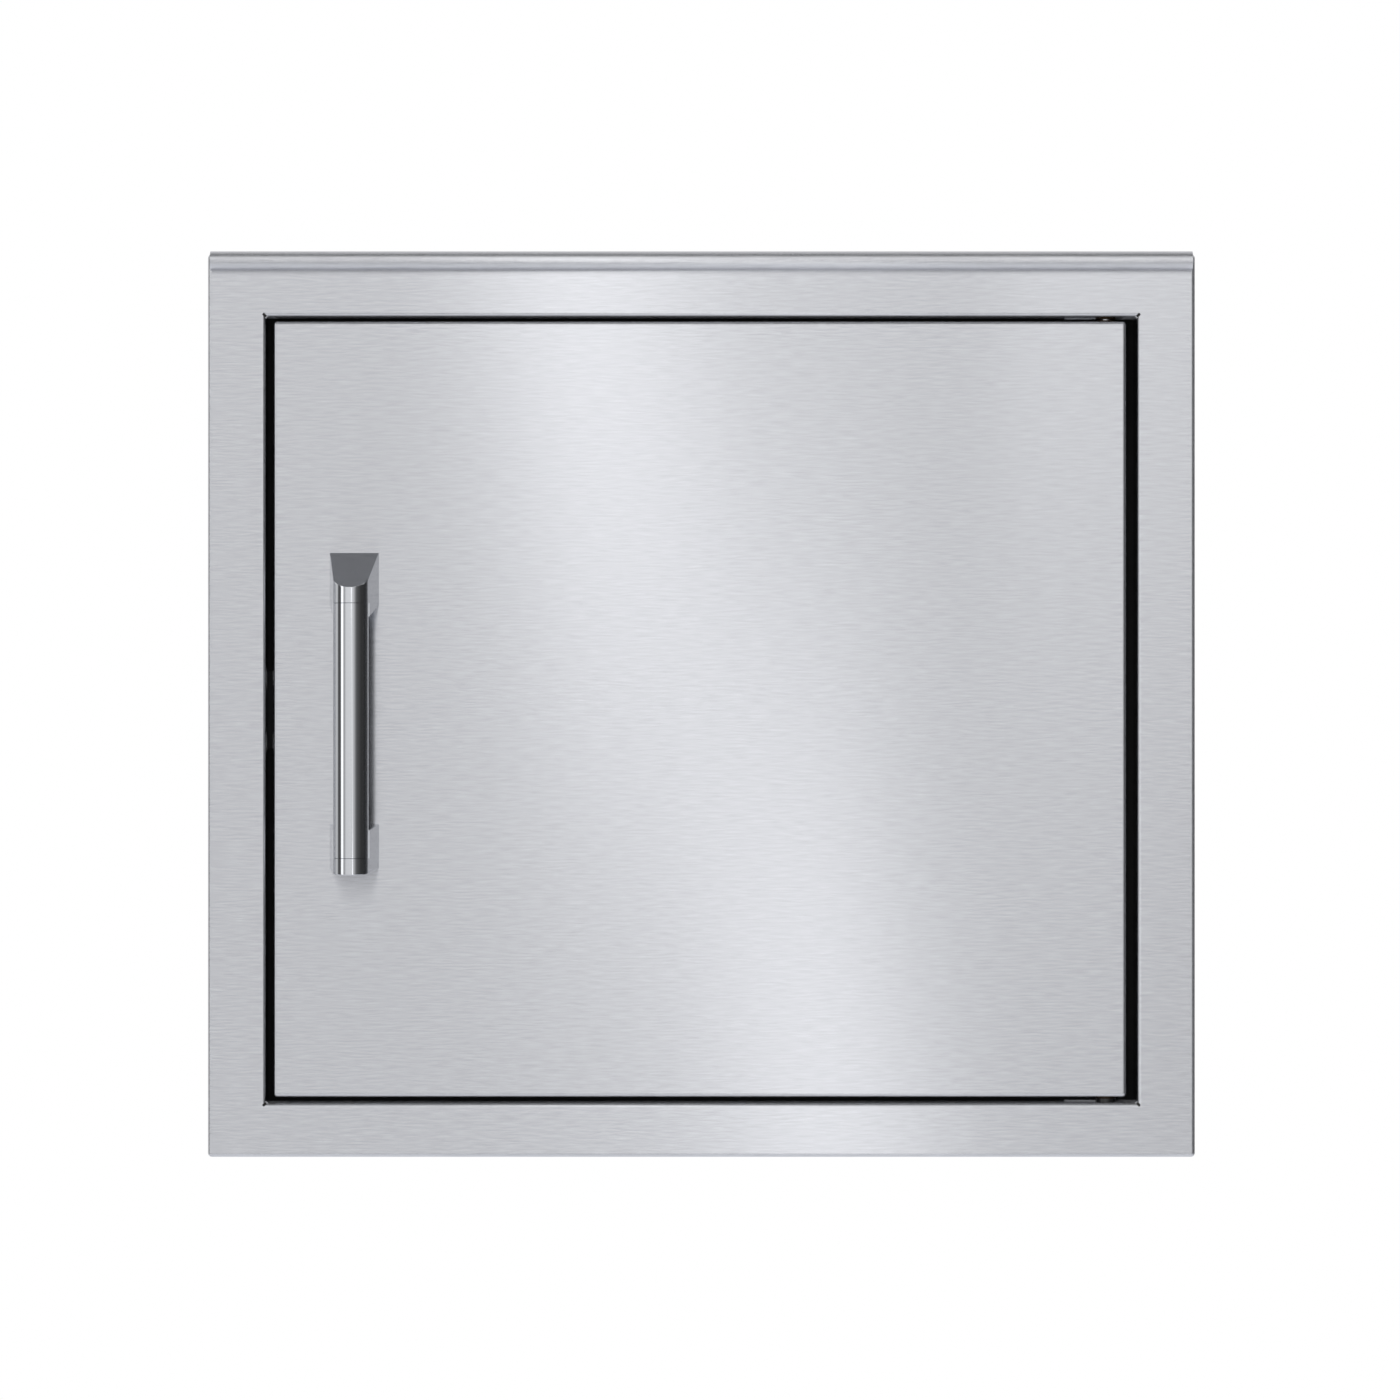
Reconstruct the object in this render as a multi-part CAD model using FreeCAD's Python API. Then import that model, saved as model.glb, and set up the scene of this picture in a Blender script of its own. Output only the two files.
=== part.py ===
import FreeCAD
import Part
import math
import os

# Access door for a masonry grill island: a formed sheet trim frame set in a cutout of the wall,
# and a flush door that turns on two pivots at its right edge. Millimetres.
# +X is to the right seen from the front, the front faces -Y, +Z is up. The origin is the centre
# of the wall cutout, in the plane of the wall's face.

V = FreeCAD.Vector

# Two places nearer than SAME are one place. Drills and cutters run PAST beyond what they cut.
SAME = 1e-4
PAST = 1.0

# Trim frame
FRAME_WIDTH = 609.6
FRAME_HEIGHT = 558.8
TRIM_DEPTH = 16.0
SIDE_RAIL = 35.8
TOP_RAIL = 39.7
BOTTOM_RAIL = 33.3
COLLAR_DEPTH = 50.0
SHEET = 1.2
BEND_INSIDE = 1.2
RELIEF_WIDTH = 1.6
RELIEF_REACH = 2.4
RELIEF_DEPTH = 5.0
CORNER_WELD = 1.5

# Drip lip along the top edge
LIP_HEIGHT = 11.7
LIP_REACH = 9.0
LIP_END_INSET = 2.2
LIP_TOP_BEND = 4.0
LIP_NOSE_FLAT = 0.8
LIP_REAR_EDGE = 1.0

# Door panel and the gaps round it
GAP_LATCH = 4.7
GAP_HINGE = 6.6
GAP_TOP = 3.1
GAP_BOTTOM = 3.8
DOOR_DEPTH = 18.0
LINER_SHEET = 1.0
LINER_FLANGE = 10.0
LINER_FIT = 0.1
LINER_NOTCH = 8.8

# Handle: distances from the door's face, heights from the door's middle
HANDLE_INSET = 50.0
BAR_RADIUS = 10.8
BAR_WALL = 1.5
BAR_END_CHAMFER = 0.4
BAR_STANDOFF = 30.0
FOOT_WIDTH = 30.4
FOOT_PAD = 1.3
UPPER_FOOT_TOP = 96.4
UPPER_FOOT_HEIGHT = 32.1
UPPER_RING = 9.5
TOP_SLANT = 29.0
UPPER_UNDERCUT = 15.2
LOWER_FOOT_BOTTOM = 98.4
LOWER_FOOT_HEIGHT = 27.4
LOWER_RING = 10.1
LOWER_END_RAKE = 4.0
SHELF_RAKE = 6.1
SPIGOT_LENGTH = 12.0
SPIGOT_FIT = 0.05
SADDLE_FIT = 0.05
SADDLE_EDGE = 28.0
HANDLE_EDGE_ROUND = 0.5
ROUND_FROM = 1.0

# Handle fixing through the door
SCREW_RADIUS = 2.5
SCREW_IN_POST = 14.0
SCREW_HOLE_DEPTH = 16.0
SCREW_HOLE_FIT = 0.25
SCREW_HEAD_RADIUS = 4.7
SCREW_HEAD_HEIGHT = 3.2
SCREW_TIP_CHAMFER = 0.8
SOCKET_FLATS = 3.0
SOCKET_DEPTH = 1.8
WASHER_RADIUS = 6.0
WASHER_THICKNESS = 1.0
SPACER_RADIUS = 5.0
BACKING_WIDTH = 24.0
BACKING_THICKNESS = 2.0
BACKING_OVERHANG = 16.0

# Pivots
PIVOT_INSET = 12.0
PIVOT_BEHIND_FACE = 10.0
PIN_RADIUS = 3.0
RUNNING_FIT = 0.05
FIXED_FIT = 0.05
THRUST_GAP = 0.15
BUSH_WALL = 1.5
BUSH_FLANGE_RADIUS = 6.2
THRUST_WASHER = 2.4
PIVOT_PLATE_LENGTH = 36.0
PIVOT_PLATE_WELD_GAP = 0.6
PIVOT_PLATE_DEPTH = 11.0
PIVOT_PLATE_THICKNESS = 3.0
PIN_HEAD_RADIUS = 5.0
PIN_HEAD_HEIGHT = 2.0
PIN_ABOVE_EDGE = 8.0
PIN_CHAMFER = 0.8
LOWER_BUSH_ABOVE_EDGE = 6.5
UPPER_BUSH_FLANGE = 1.2
UPPER_BUSH_ABOVE_PLATE = 1.5
GUIDE_BUSH_FLANGE = 1.0
GUIDE_BUSH_BELOW_EDGE = 5.0
HINGE_BRACKET_HEIGHT = 30.0
HINGE_BRACKET_REACH = 14.4
HINGE_BRACKET_WIDTH = 16.0
HINGE_BRACKET_THICKNESS = 3.0
HINGE_BRACKET_BEND = 2.0

# Spring bolt at the top pivot
BOLT_TRAVEL = 8.0
BOLT_ABOVE_EDGE = 8.8
EAR_THICKNESS = 1.5
EAR_SPACING = 33.9
EAR_REACH = 14.8
EAR_WIDTH = 14.0
EAR_BEND = 1.5
BRACKET_TOP_FIT = 0.2
CLIP_RADIUS = 5.6
CLIP_THICKNESS = 1.0
CLIP_GAP = 0.1
CLIP_MOUTH = 0.75
GROOVE_DEPTH = 0.7
GROOVE_FIT = 0.05
PULL_BELOW_EAR = 15.5
PULL_BEND = 7.0
PULL_REACH = 20.0
GRIP_RADIUS = 4.6
GRIP_LENGTH = 11.0
GRIP_ROUND = 1.5
WINDOW_WIDTH = 18.0
WINDOW_ABOVE_EAR = 26.0
WINDOW_CORNER = 4.0
PULL_CLEARANCE = 3.0

# Coil spring round the bolt
SPRING_WIRE = 0.9
SPRING_MEAN_RADIUS = 4.1
SPRING_TURNS = 7
SPRING_END_PITCH = 1.35
SPRING_RAMP_TURNS = 0.5
SPRING_SEAT_GAP = 0.05

# Door stops, bumpers and seal
STOP_WIDTH = 15.0
STOP_LEG = 12.0
STOP_BEHIND_DOOR = 2.0
STOP_CATCH_CLEARANCE = 3.0
STOP_HINGE_CLEARANCE = 25.0
STOP_END_GAP = 1.0
CLOSED_CLEARANCE = 0.3
BUMPER_RADIUS = 4.75
BUMPER_FROM_MIDDLE = 200.0
BUMPER_ROUND = 0.6
SEAL_WIDTH = 5.2
HINGE_STOP_WIDTH = 12.0
HINGE_STOP_LEG = 8.0
HINGE_SWEEP_CLEARANCE = 1.0

# Magnetic catch at the middle of the latch side
CATCH_BASE = 2.5
CATCH_BODY_HEIGHT = 30.0
CATCH_BODY_WIDTH = 15.0
CATCH_BODY_DEPTH = 16.0
CATCH_CORNER = 1.0
CATCH_EAR_MARGIN = 5.0
POLE_THICKNESS = 1.5
POLE_PROUD = 0.5
MAGNET_WIDTH = 4.0
MAGNET_END_WALL = 3.0
MAGNET_DEPTH = 10.0
POLE_WALL = 2.0
STRIKE_GAP = 0.3
STRIKE_END = 6.0
STRIKE_WIDTH = 13.0
STRIKE_THICKNESS = 1.2
STRIKE_EDGE = 1.2
RIVET_RADIUS = 1.6
RIVET_HEAD_RADIUS = 3.0
RIVET_HEAD_HEIGHT = 0.8
RIVET_SET_RADIUS = 2.4
RIVET_CLEARANCE = 2.0
CATCH_SCREW_RADIUS = 1.9
CATCH_SCREW_CLEARANCE = 0.6
CATCH_SCREW_HEAD_RADIUS = 3.4
CATCH_SCREW_HEAD_HEIGHT = 2.2
CATCH_SCREW_TIP = 1.4
CATCH_HOLE_FIT = 0.15

# Crowns of turned heads, as shares of the head's radius and height, from the axis to the rim
BUTTON_CROWN = ((0.6, 1.0), (0.92, 0.6))
PAN_CROWN = ((0.6, 1.0), (1.0, 0.5))
RIVET_CROWN = ((0.6, 0.8),)

# Holes in the collar for the screws into the wall
MOUNT_HOLE_RADIUS = 2.5
MOUNT_HOLE_FROM_REAR = 10.0
MOUNT_SIDE_SPACING = 300.0
MOUNT_EDGE_SPACING = 360.0

# Worked out from the sizes above
FACE = -TRIM_DEPTH
COLLAR_REAR = FACE + COLLAR_DEPTH
OPEN_X = FRAME_WIDTH / 2 - SIDE_RAIL
OPEN_Z = (FRAME_HEIGHT - TOP_RAIL - BOTTOM_RAIL) / 2
FRAME_X = FRAME_WIDTH / 2
FRAME_LOW = -OPEN_Z - BOTTOM_RAIL
FRAME_HIGH = OPEN_Z + TOP_RAIL
DOOR_LEFT = -OPEN_X + GAP_LATCH
DOOR_RIGHT = OPEN_X - GAP_HINGE
DOOR_LOW = -OPEN_Z + GAP_BOTTOM
DOOR_HIGH = OPEN_Z - GAP_TOP
DOOR_MIDDLE = (DOOR_LOW + DOOR_HIGH) / 2
DOOR_BACK = FACE + DOOR_DEPTH
SKIN_BACK = FACE + SHEET
LINER_FRONT = DOOR_BACK - LINER_SHEET
HANDLE_X = DOOR_LEFT + HANDLE_INSET
PIVOT_X = DOOR_RIGHT - PIVOT_INSET
PIVOT_Y = FACE + PIVOT_BEHIND_FACE
BORE_RADIUS = PIN_RADIUS + RUNNING_FIT
BUSH_RADIUS = BORE_RADIUS + BUSH_WALL
LIP_CURL = LIP_HEIGHT - 2 * SHEET - LIP_TOP_BEND - LIP_NOSE_FLAT
BAR_FRONT = BAR_STANDOFF + BAR_RADIUS
UPPER_FOOT_BOTTOM = UPPER_FOOT_TOP - UPPER_FOOT_HEIGHT
LOWER_FOOT_TOP = LOWER_FOOT_BOTTOM - LOWER_FOOT_HEIGHT
UPPER_NOSE = UPPER_FOOT_TOP - (BAR_FRONT - FOOT_PAD) * math.tan(math.radians(TOP_SLANT))
LOWER_NOSE = LOWER_FOOT_BOTTOM + BAR_FRONT * math.tan(math.radians(LOWER_END_RAKE))
UPPER_SEAM = UPPER_NOSE - UPPER_RING
LOWER_SEAM = LOWER_NOSE - LOWER_RING
UPPER_SCREW = UPPER_FOOT_TOP - UPPER_FOOT_HEIGHT / 2
LOWER_SCREW = LOWER_FOOT_BOTTOM - LOWER_FOOT_HEIGHT / 2
SCREW_CLEAR = SCREW_RADIUS + SCREW_HOLE_FIT
STOP_FACE = DOOR_BACK + STOP_BEHIND_DOOR
SOFT_THICKNESS = STOP_BEHIND_DOOR - CLOSED_CLEARANCE
HINGE_SWEEP = max(math.hypot(PIVOT_INSET, PIVOT_BEHIND_FACE),
                  math.hypot(PIVOT_INSET, DOOR_DEPTH - PIVOT_BEHIND_FACE))
HINGE_STOP_FACE = PIVOT_Y + HINGE_SWEEP + HINGE_SWEEP_CLEARANCE + SOFT_THICKNESS
STOPS_END = PIVOT_X - STOP_HINGE_CLEARANCE
BOLT_TOP = DOOR_HIGH + BOLT_ABOVE_EDGE
CLIP_TOP = DOOR_HIGH - GUIDE_BUSH_BELOW_EDGE - CLIP_GAP
BRACKET_TOP = DOOR_HIGH - SHEET - BRACKET_TOP_FIT
LOWER_EAR_TOP = BRACKET_TOP - EAR_SPACING
LOWER_EAR_BOTTOM = LOWER_EAR_TOP - EAR_THICKNESS
PULL_HEIGHT = LOWER_EAR_BOTTOM - PULL_BELOW_EAR
STRIKE_BACK = DOOR_BACK + STRIKE_THICKNESS
CATCH_FRONT = STRIKE_BACK + STRIKE_GAP + POLE_PROUD
CATCH_SCREW_SPACING = CATCH_BODY_HEIGHT + 2 * (CATCH_SCREW_HEAD_RADIUS + CATCH_SCREW_CLEARANCE)
CATCH_HEIGHT = CATCH_SCREW_SPACING + 2 * CATCH_EAR_MARGIN
STOP_CATCH_GAP = CATCH_HEIGHT / 2 + STOP_CATCH_CLEARANCE
MAGNET_HEIGHT = CATCH_BODY_HEIGHT - 2 * MAGNET_END_WALL
RIVET_SPACING = CATCH_BODY_HEIGHT + 2 * (RIVET_HEAD_RADIUS + RIVET_CLEARANCE)
STRIKE_HEIGHT = RIVET_SPACING + 2 * STRIKE_END


# Basic solids between named limits

def box(x, y, z):
    """A block between two limits on each axis."""
    low = V(x[0], y[0], z[0])
    return Part.makeBox(x[1] - x[0], y[1] - y[0], z[1] - z[0], low)


def rod(radius, start, end):
    """A round bar between two points."""
    along = V(*end) - V(*start)
    return Part.makeCylinder(radius, along.Length, V(*start), along)


def turned(profile, centre, axis):
    """A turned piece: profile points are (radius, distance along the axis)."""
    across = V(1, 0, 0) if abs(axis.x) < 0.5 else V(0, 0, 1)
    points = [centre + across * r + axis * s for r, s in profile]
    face = Part.Face(Part.makePolygon(points + points[:1]))
    return face.revolve(centre, axis, 360)


def head(crown, radius, height):
    """The profile of a turned head, from the top of its axis out to its rim."""
    return [(0, height)] + [(radius * r, height * h) for r, h in crown] + [(radius, 0)]


def bush(bore, radius, flange_radius, flange, x, y, flange_low, low, high):
    """A flanged bush on an upright axis."""
    body = rod(radius, (x, y, low), (x, y, high))
    rim = rod(flange_radius, (x, y, flange_low), (x, y, flange_low + flange))
    hole = rod(bore, (x, y, low - PAST), (x, y, high + PAST))
    return body.fuse(rim).removeSplitter().cut(hole)


def joined(first, *others):
    """One solid from several that meet."""
    return first.multiFuse(list(others)).removeSplitter()


def edges_where(shape, test):
    """The edges whose every point lies where the test says."""
    found = []
    for edge in shape.Edges:
        middle = edge.valueAt((edge.FirstParameter + edge.LastParameter) / 2)
        if all(test(p) for p in [v.Point for v in edge.Vertexes] + [middle]):
            found.append(edge)
    return found


def near(a, b):
    return abs(a - b) < SAME


# Bent sheet: a line of points with bends, given a thickness to its right

def corner_point(line, offset, i):
    """The i-th corner of a line moved sideways by an offset."""
    def side(a, b):
        along = (b - a).normalize()
        return V(along.y, -along.x, 0)
    if i == 0:
        return line[0] + side(line[0], line[1]) * offset
    if i == len(line) - 1:
        return line[i] + side(line[i - 1], line[i]) * offset
    before = side(line[i - 1], line[i])
    after = side(line[i], line[i + 1])
    spread = 1 + before.dot(after)
    return line[i] + (before + after) * (offset / spread)


def rounded_line(points, radii):
    """Edges of a line whose inner corners are rounded."""
    edges = []
    start = points[0]
    for i in range(1, len(points) - 1):
        back = (points[i - 1] - points[i]).normalize()
        ahead = (points[i + 1] - points[i]).normalize()
        half = back.getAngle(ahead) / 2
        reach = radii[i - 1] / math.tan(half)
        into = points[i] + back * reach
        out = points[i] + ahead * reach
        bisector = (back + ahead).normalize()
        centre = points[i] + bisector * (radii[i - 1] / math.sin(half))
        middle = centre - bisector * radii[i - 1]
        edges.append(Part.makeLine(start, into))
        edges.append(Part.Arc(into, middle, out).toShape())
        start = out
    edges.append(Part.makeLine(start, points[-1]))
    return edges


def sheet_section(points, thickness, bends):
    """The flat section of a bent sheet, with the bends' inside radii."""
    line = [V(u, v, 0) for u, v in points]
    other = [corner_point(line, thickness, i) for i in range(len(line))]
    near_radii = []
    far_radii = []
    for i in range(1, len(line) - 1):
        turn = (line[i] - line[i - 1]).cross(line[i + 1] - line[i]).z
        inside = bends[i - 1]
        near_radii.append(inside if turn > 0 else inside + thickness)
        far_radii.append(inside + thickness if turn > 0 else inside)
    edges = rounded_line(line, near_radii) + rounded_line(other, far_radii)
    edges.append(Part.makeLine(line[0], other[0]))
    edges.append(Part.makeLine(line[-1], other[-1]))
    return Part.Face(Part.Wire(Part.__sortEdges__(edges)))


def along_x(section, x):
    """A section drawn in (Y, Z), drawn out between two places on X."""
    placed = section.copy()
    placed.Placement = FreeCAD.Placement(FreeCAD.Matrix(0, 0, 1, x[0], 1, 0, 0, 0, 0, 1, 0, 0))
    return placed.extrude(V(x[1] - x[0], 0, 0))


def along_z(section, z):
    """A section drawn in (X, Y), drawn out between two heights."""
    return section.translated(V(0, 0, z[0])).extrude(V(0, 0, z[1] - z[0]))


def flat_face(points):
    """A flat outline of straight lines."""
    line = [V(u, v, 0) for u, v in points]
    return Part.Face(Part.makePolygon(line + line[:1]))


# Trim frame

def pan(x, z, front, back, thickness, bend):
    """A shallow open-backed pan with rounded front edges and corners."""
    outside = box(x, (front, back), z)
    outside = outside.makeFillet(bend, edges_where(outside, lambda p: p.y < back - SAME)
                                 + upright_corners(outside, front, back))
    x_in = (x[0] + thickness, x[1] - thickness)
    z_in = (z[0] + thickness, z[1] - thickness)
    inside = box(x_in, (front + thickness, back), z_in)
    inner_bend = bend - thickness
    inside = inside.makeFillet(inner_bend, edges_where(inside, lambda p: p.y < back - SAME)
                               + upright_corners(inside, front + thickness, back))
    return outside.cut(inside)


def upright_corners(shape, front, back):
    """The four edges of a block that run from its front to its back."""
    found = []
    for edge in shape.Edges:
        ends = sorted(v.Point.y for v in edge.Vertexes)
        if near(ends[0], front) and near(ends[1], back):
            found.append(edge)
    return found


def on_opening(p):
    """True for a point on the four walls of the access opening."""
    on_side = near(abs(p.x), OPEN_X) and abs(p.z) < OPEN_Z + SAME
    on_edge = near(abs(p.z), OPEN_Z) and abs(p.x) < OPEN_X + SAME
    return on_side or on_edge


def on_collar_outside(p):
    """True for a point on the outside of the collar's walls."""
    on_side = near(abs(p.x), OPEN_X + SHEET) and abs(p.z) < OPEN_Z + SHEET + SAME
    on_edge = near(abs(p.z), OPEN_Z + SHEET) and abs(p.x) < OPEN_X + SHEET + SAME
    return on_side or on_edge


def corner_reliefs():
    """The small diagonal notches where the opening's walls were folded back."""
    notches = []
    for sx in (-1, 1):
        for sz in (-1, 1):
            half = RELIEF_WIDTH / 2
            notch = box((-RELIEF_REACH, RELIEF_REACH), (0, RELIEF_DEPTH), (-half, half))
            notch.rotate(V(0, 0, 0), V(0, 1, 0), -45 * sx * sz)
            notch.translate(V(sx * OPEN_X, FACE, sz * OPEN_Z))
            notches.append(notch)
    return notches


def corner_welds():
    """Beads that close the collar's corners behind the notches, inside the hollow of the trim."""
    return [rod(CORNER_WELD, (sx * (OPEN_X + SHEET), FACE + RELIEF_DEPTH, sz * (OPEN_Z + SHEET)),
                (sx * (OPEN_X + SHEET), 0, sz * (OPEN_Z + SHEET)))
            for sx in (-1, 1) for sz in (-1, 1)]


def mount_holes():
    """Drills for the screws that hold the collar in the wall."""
    y = COLLAR_REAR - MOUNT_HOLE_FROM_REAR
    drills = []
    for s in (-1, 1):
        for t in (-1, 1):
            z = t * MOUNT_SIDE_SPACING / 2
            x = t * MOUNT_EDGE_SPACING / 2
            drills.append(rod(MOUNT_HOLE_RADIUS, (s * (OPEN_X - PAST), y, z),
                              (s * (OPEN_X + SHEET + PAST), y, z)))
            drills.append(rod(MOUNT_HOLE_RADIUS, (x, y, s * (OPEN_Z - PAST)),
                              (x, y, s * (OPEN_Z + SHEET + PAST))))
    return drills


def face_frame():
    """One sheet: front face, four outer returns and the collar round the opening."""
    bend = BEND_INSIDE + SHEET
    shell = pan((-FRAME_X, FRAME_X), (FRAME_LOW, FRAME_HIGH - SHEET), FACE, 0, SHEET, bend)
    outside = OPEN_X + SHEET
    top = OPEN_Z + SHEET
    collar = box((-outside, outside), (FACE, COLLAR_REAR), (-top, top))
    opening = box((-OPEN_X, OPEN_X), (FACE - PAST, COLLAR_REAR + PAST),
                  (-OPEN_Z, OPEN_Z))
    frame = joined(shell, collar).cut(opening)
    front = edges_where(frame, lambda p: near(p.y, FACE) and on_opening(p))
    frame = frame.makeFillet(bend, front)
    back = edges_where(frame, lambda p: near(p.y, SKIN_BACK) and on_collar_outside(p))
    frame = frame.makeFillet(BEND_INSIDE, back)
    drills = corner_reliefs() + mount_holes()
    for z, radius in ((-OPEN_Z, PIN_RADIUS), (OPEN_Z, BUSH_RADIUS)):
        drills.append(rod(radius + FIXED_FIT, (PIVOT_X, PIVOT_Y, z - SHEET - PAST),
                          (PIVOT_X, PIVOT_Y, z + SHEET + PAST)))
    drills += catch_drills()
    frame = frame.cut(Part.makeCompound(drills)).Solids[0]
    beads = [bead.cut(opening) for bead in corner_welds()]
    return joined(frame, *beads)


def drip_cap():
    """Strip that laps the top return and rolls out and under as a rain lip, with closed ends."""
    low = FRAME_HIGH - LIP_HEIGHT
    nose = [
        (FACE, low),
        (FACE - LIP_REACH, low),
        (FACE - LIP_REACH, FRAME_HIGH),
    ]
    strip = sheet_section(nose + [(-LIP_REAR_EDGE, FRAME_HIGH)], SHEET, [LIP_CURL, LIP_TOP_BEND])
    line = [V(y, z, 0) for y, z in nose + [(FACE, FRAME_HIGH)]]
    edges = rounded_line(line, [LIP_CURL + SHEET, LIP_TOP_BEND + SHEET])
    edges.append(Part.makeLine(line[-1], line[0]))
    end_plate = Part.Face(Part.Wire(edges))
    end = FRAME_X - LIP_END_INSET
    return joined(along_x(strip, (-end, end)),
                  along_x(end_plate, (-end, -end + SHEET)),
                  along_x(end_plate, (end - SHEET, end)))


# Door stops

def side_stop(z):
    """Upright angle on the latch side."""
    wall = -OPEN_X
    points = [
        (wall + STOP_WIDTH, STOP_FACE),
        (wall, STOP_FACE),
        (wall, STOP_FACE + STOP_LEG),
    ]
    section = sheet_section(points, SHEET, [BEND_INSIDE])
    return along_z(section, z)


def stop_side_upper():
    return side_stop((STOP_CATCH_GAP, OPEN_Z - STOP_END_GAP))


def stop_side_lower():
    return side_stop((-OPEN_Z + STOP_END_GAP, -STOP_CATCH_GAP))


def stop_top():
    """Level angle on the collar's top wall."""
    points = [
        (STOP_FACE, OPEN_Z - STOP_WIDTH),
        (STOP_FACE, OPEN_Z),
        (STOP_FACE + STOP_LEG, OPEN_Z),
    ]
    section = sheet_section(points, SHEET, [BEND_INSIDE])
    left = -OPEN_X + STOP_WIDTH + STOP_END_GAP
    return along_x(section, (left, STOPS_END))


def stop_bottom():
    """The same angle on the bottom wall."""
    return stop_top().mirror(V(0, 0, 0), V(0, 0, 1))


def stop_hinge_side():
    """Upright angle behind the sweep of the door's edge, with an arm above and below."""
    points = [
        (OPEN_X, HINGE_STOP_FACE + HINGE_STOP_LEG),
        (OPEN_X, HINGE_STOP_FACE),
        (OPEN_X - HINGE_STOP_WIDTH, HINGE_STOP_FACE),
    ]
    section = sheet_section(points, SHEET, [BEND_INSIDE])
    upright = along_z(section, (-OPEN_Z, OPEN_Z))
    arm_x = (STOPS_END, OPEN_X - HINGE_STOP_WIDTH + SHEET)
    arm_y = (HINGE_STOP_FACE, HINGE_STOP_FACE + SHEET)
    return joined(upright,
                  box(arm_x, arm_y, (OPEN_Z - HINGE_STOP_WIDTH, OPEN_Z)),
                  box(arm_x, arm_y, (-OPEN_Z, -OPEN_Z + HINGE_STOP_WIDTH)))


def door_seal():
    """Strips of black foam on the stops, right behind the gap all round the door."""
    front = (STOP_FACE - SOFT_THICKNESS, STOP_FACE)
    deep = (HINGE_STOP_FACE - SOFT_THICKNESS, HINGE_STOP_FACE)
    latch = (-OPEN_X, -OPEN_X + SEAL_WIDTH)
    hinge = (OPEN_X - HINGE_STOP_WIDTH, OPEN_X)
    hinge_strips = [box(hinge, deep, (-OPEN_Z, OPEN_Z))]
    latch_strips = []
    for side in (-1, 1):
        past_catch = sorted((side * (CATCH_HEIGHT / 2 + CLOSED_CLEARANCE), side * OPEN_Z))
        edge = sorted((side * (OPEN_Z - SEAL_WIDTH), side * OPEN_Z))
        latch_strips.append(joined(box(latch, front, past_catch),
                                   box((latch[1], STOPS_END), front, edge)))
        hinge_strips.append(box((STOPS_END, hinge[0]), deep, edge))
    return Part.makeCompound([joined(*hinge_strips)] + latch_strips)


def door_bumpers():
    """Two rubber bumpers on the latch side's stops."""
    bumpers = []
    x = -OPEN_X + STOP_WIDTH - BUMPER_RADIUS
    for side in (-1, 1):
        z = side * BUMPER_FROM_MIDDLE
        top = STOP_FACE - SOFT_THICKNESS
        bumper = rod(BUMPER_RADIUS, (x, STOP_FACE, z), (x, top, z))
        rim = edges_where(bumper, lambda p: near(p.y, top))
        bumpers.append(bumper.makeFillet(BUMPER_ROUND, rim[:1]))
    return Part.makeCompound(bumpers)


# Magnetic catch

def catch_screw_places():
    return [side * CATCH_SCREW_SPACING / 2 for side in (-1, 1)]


def catch_middle_y():
    return CATCH_FRONT + CATCH_BODY_DEPTH / 2


def catch_drills():
    """Pilot holes for the catch's screws in the collar's wall."""
    y = catch_middle_y()
    return [rod(CATCH_SCREW_RADIUS, (-OPEN_X + PAST, y, z), (-OPEN_X - SHEET - PAST, y, z))
            for z in catch_screw_places()]


def catch_housing():
    """Moulded body with two screw ears against the collar's left wall."""
    back = CATCH_FRONT + CATCH_BODY_DEPTH
    y = (CATCH_FRONT, back)
    half = CATCH_HEIGHT / 2
    body_half = CATCH_BODY_HEIGHT / 2
    base = box((-OPEN_X, -OPEN_X + CATCH_BASE), y, (-half, half))
    body = box((-OPEN_X, -OPEN_X + CATCH_BODY_WIDTH), y, (-body_half, body_half))
    inner = edges_where(body, lambda p: near(p.x, -OPEN_X + CATCH_BODY_WIDTH))
    body = body.makeFillet(CATCH_CORNER, inner)
    housing = joined(base, body)
    cuts = [rod(CATCH_SCREW_RADIUS + CATCH_HOLE_FIT, (-OPEN_X - PAST, catch_middle_y(), z),
                (-OPEN_X + CATCH_BASE + PAST, catch_middle_y(), z))
            for z in catch_screw_places()]
    x, depth = magnet_pocket()
    pocket_half = MAGNET_HEIGHT / 2
    cuts.append(box(x, (CATCH_FRONT - PAST, CATCH_FRONT + depth), (-pocket_half, pocket_half)))
    return housing.cut(Part.makeCompound(cuts))


def magnet_pocket():
    """Where the magnet and its two pole plates sit: limits on X, and the depth."""
    low = -OPEN_X + CATCH_BODY_WIDTH - POLE_WALL - MAGNET_WIDTH - 2 * POLE_THICKNESS
    return (low, low + MAGNET_WIDTH + 2 * POLE_THICKNESS), MAGNET_DEPTH


def catch_magnet():
    """The magnet block, set a little back between its pole plates."""
    x, depth = magnet_pocket()
    half = MAGNET_HEIGHT / 2
    return box((x[0] + POLE_THICKNESS, x[1] - POLE_THICKNESS),
               (CATCH_FRONT, CATCH_FRONT + depth), (-half, half))


def catch_pole_plates():
    """The two steel plates that the strike plate meets."""
    x, depth = magnet_pocket()
    half = MAGNET_HEIGHT / 2
    plates = []
    for low in (x[0], x[1] - POLE_THICKNESS):
        plates.append(box((low, low + POLE_THICKNESS),
                          (CATCH_FRONT - POLE_PROUD, CATCH_FRONT + depth), (-half, half)))
    return Part.makeCompound(plates)


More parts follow.
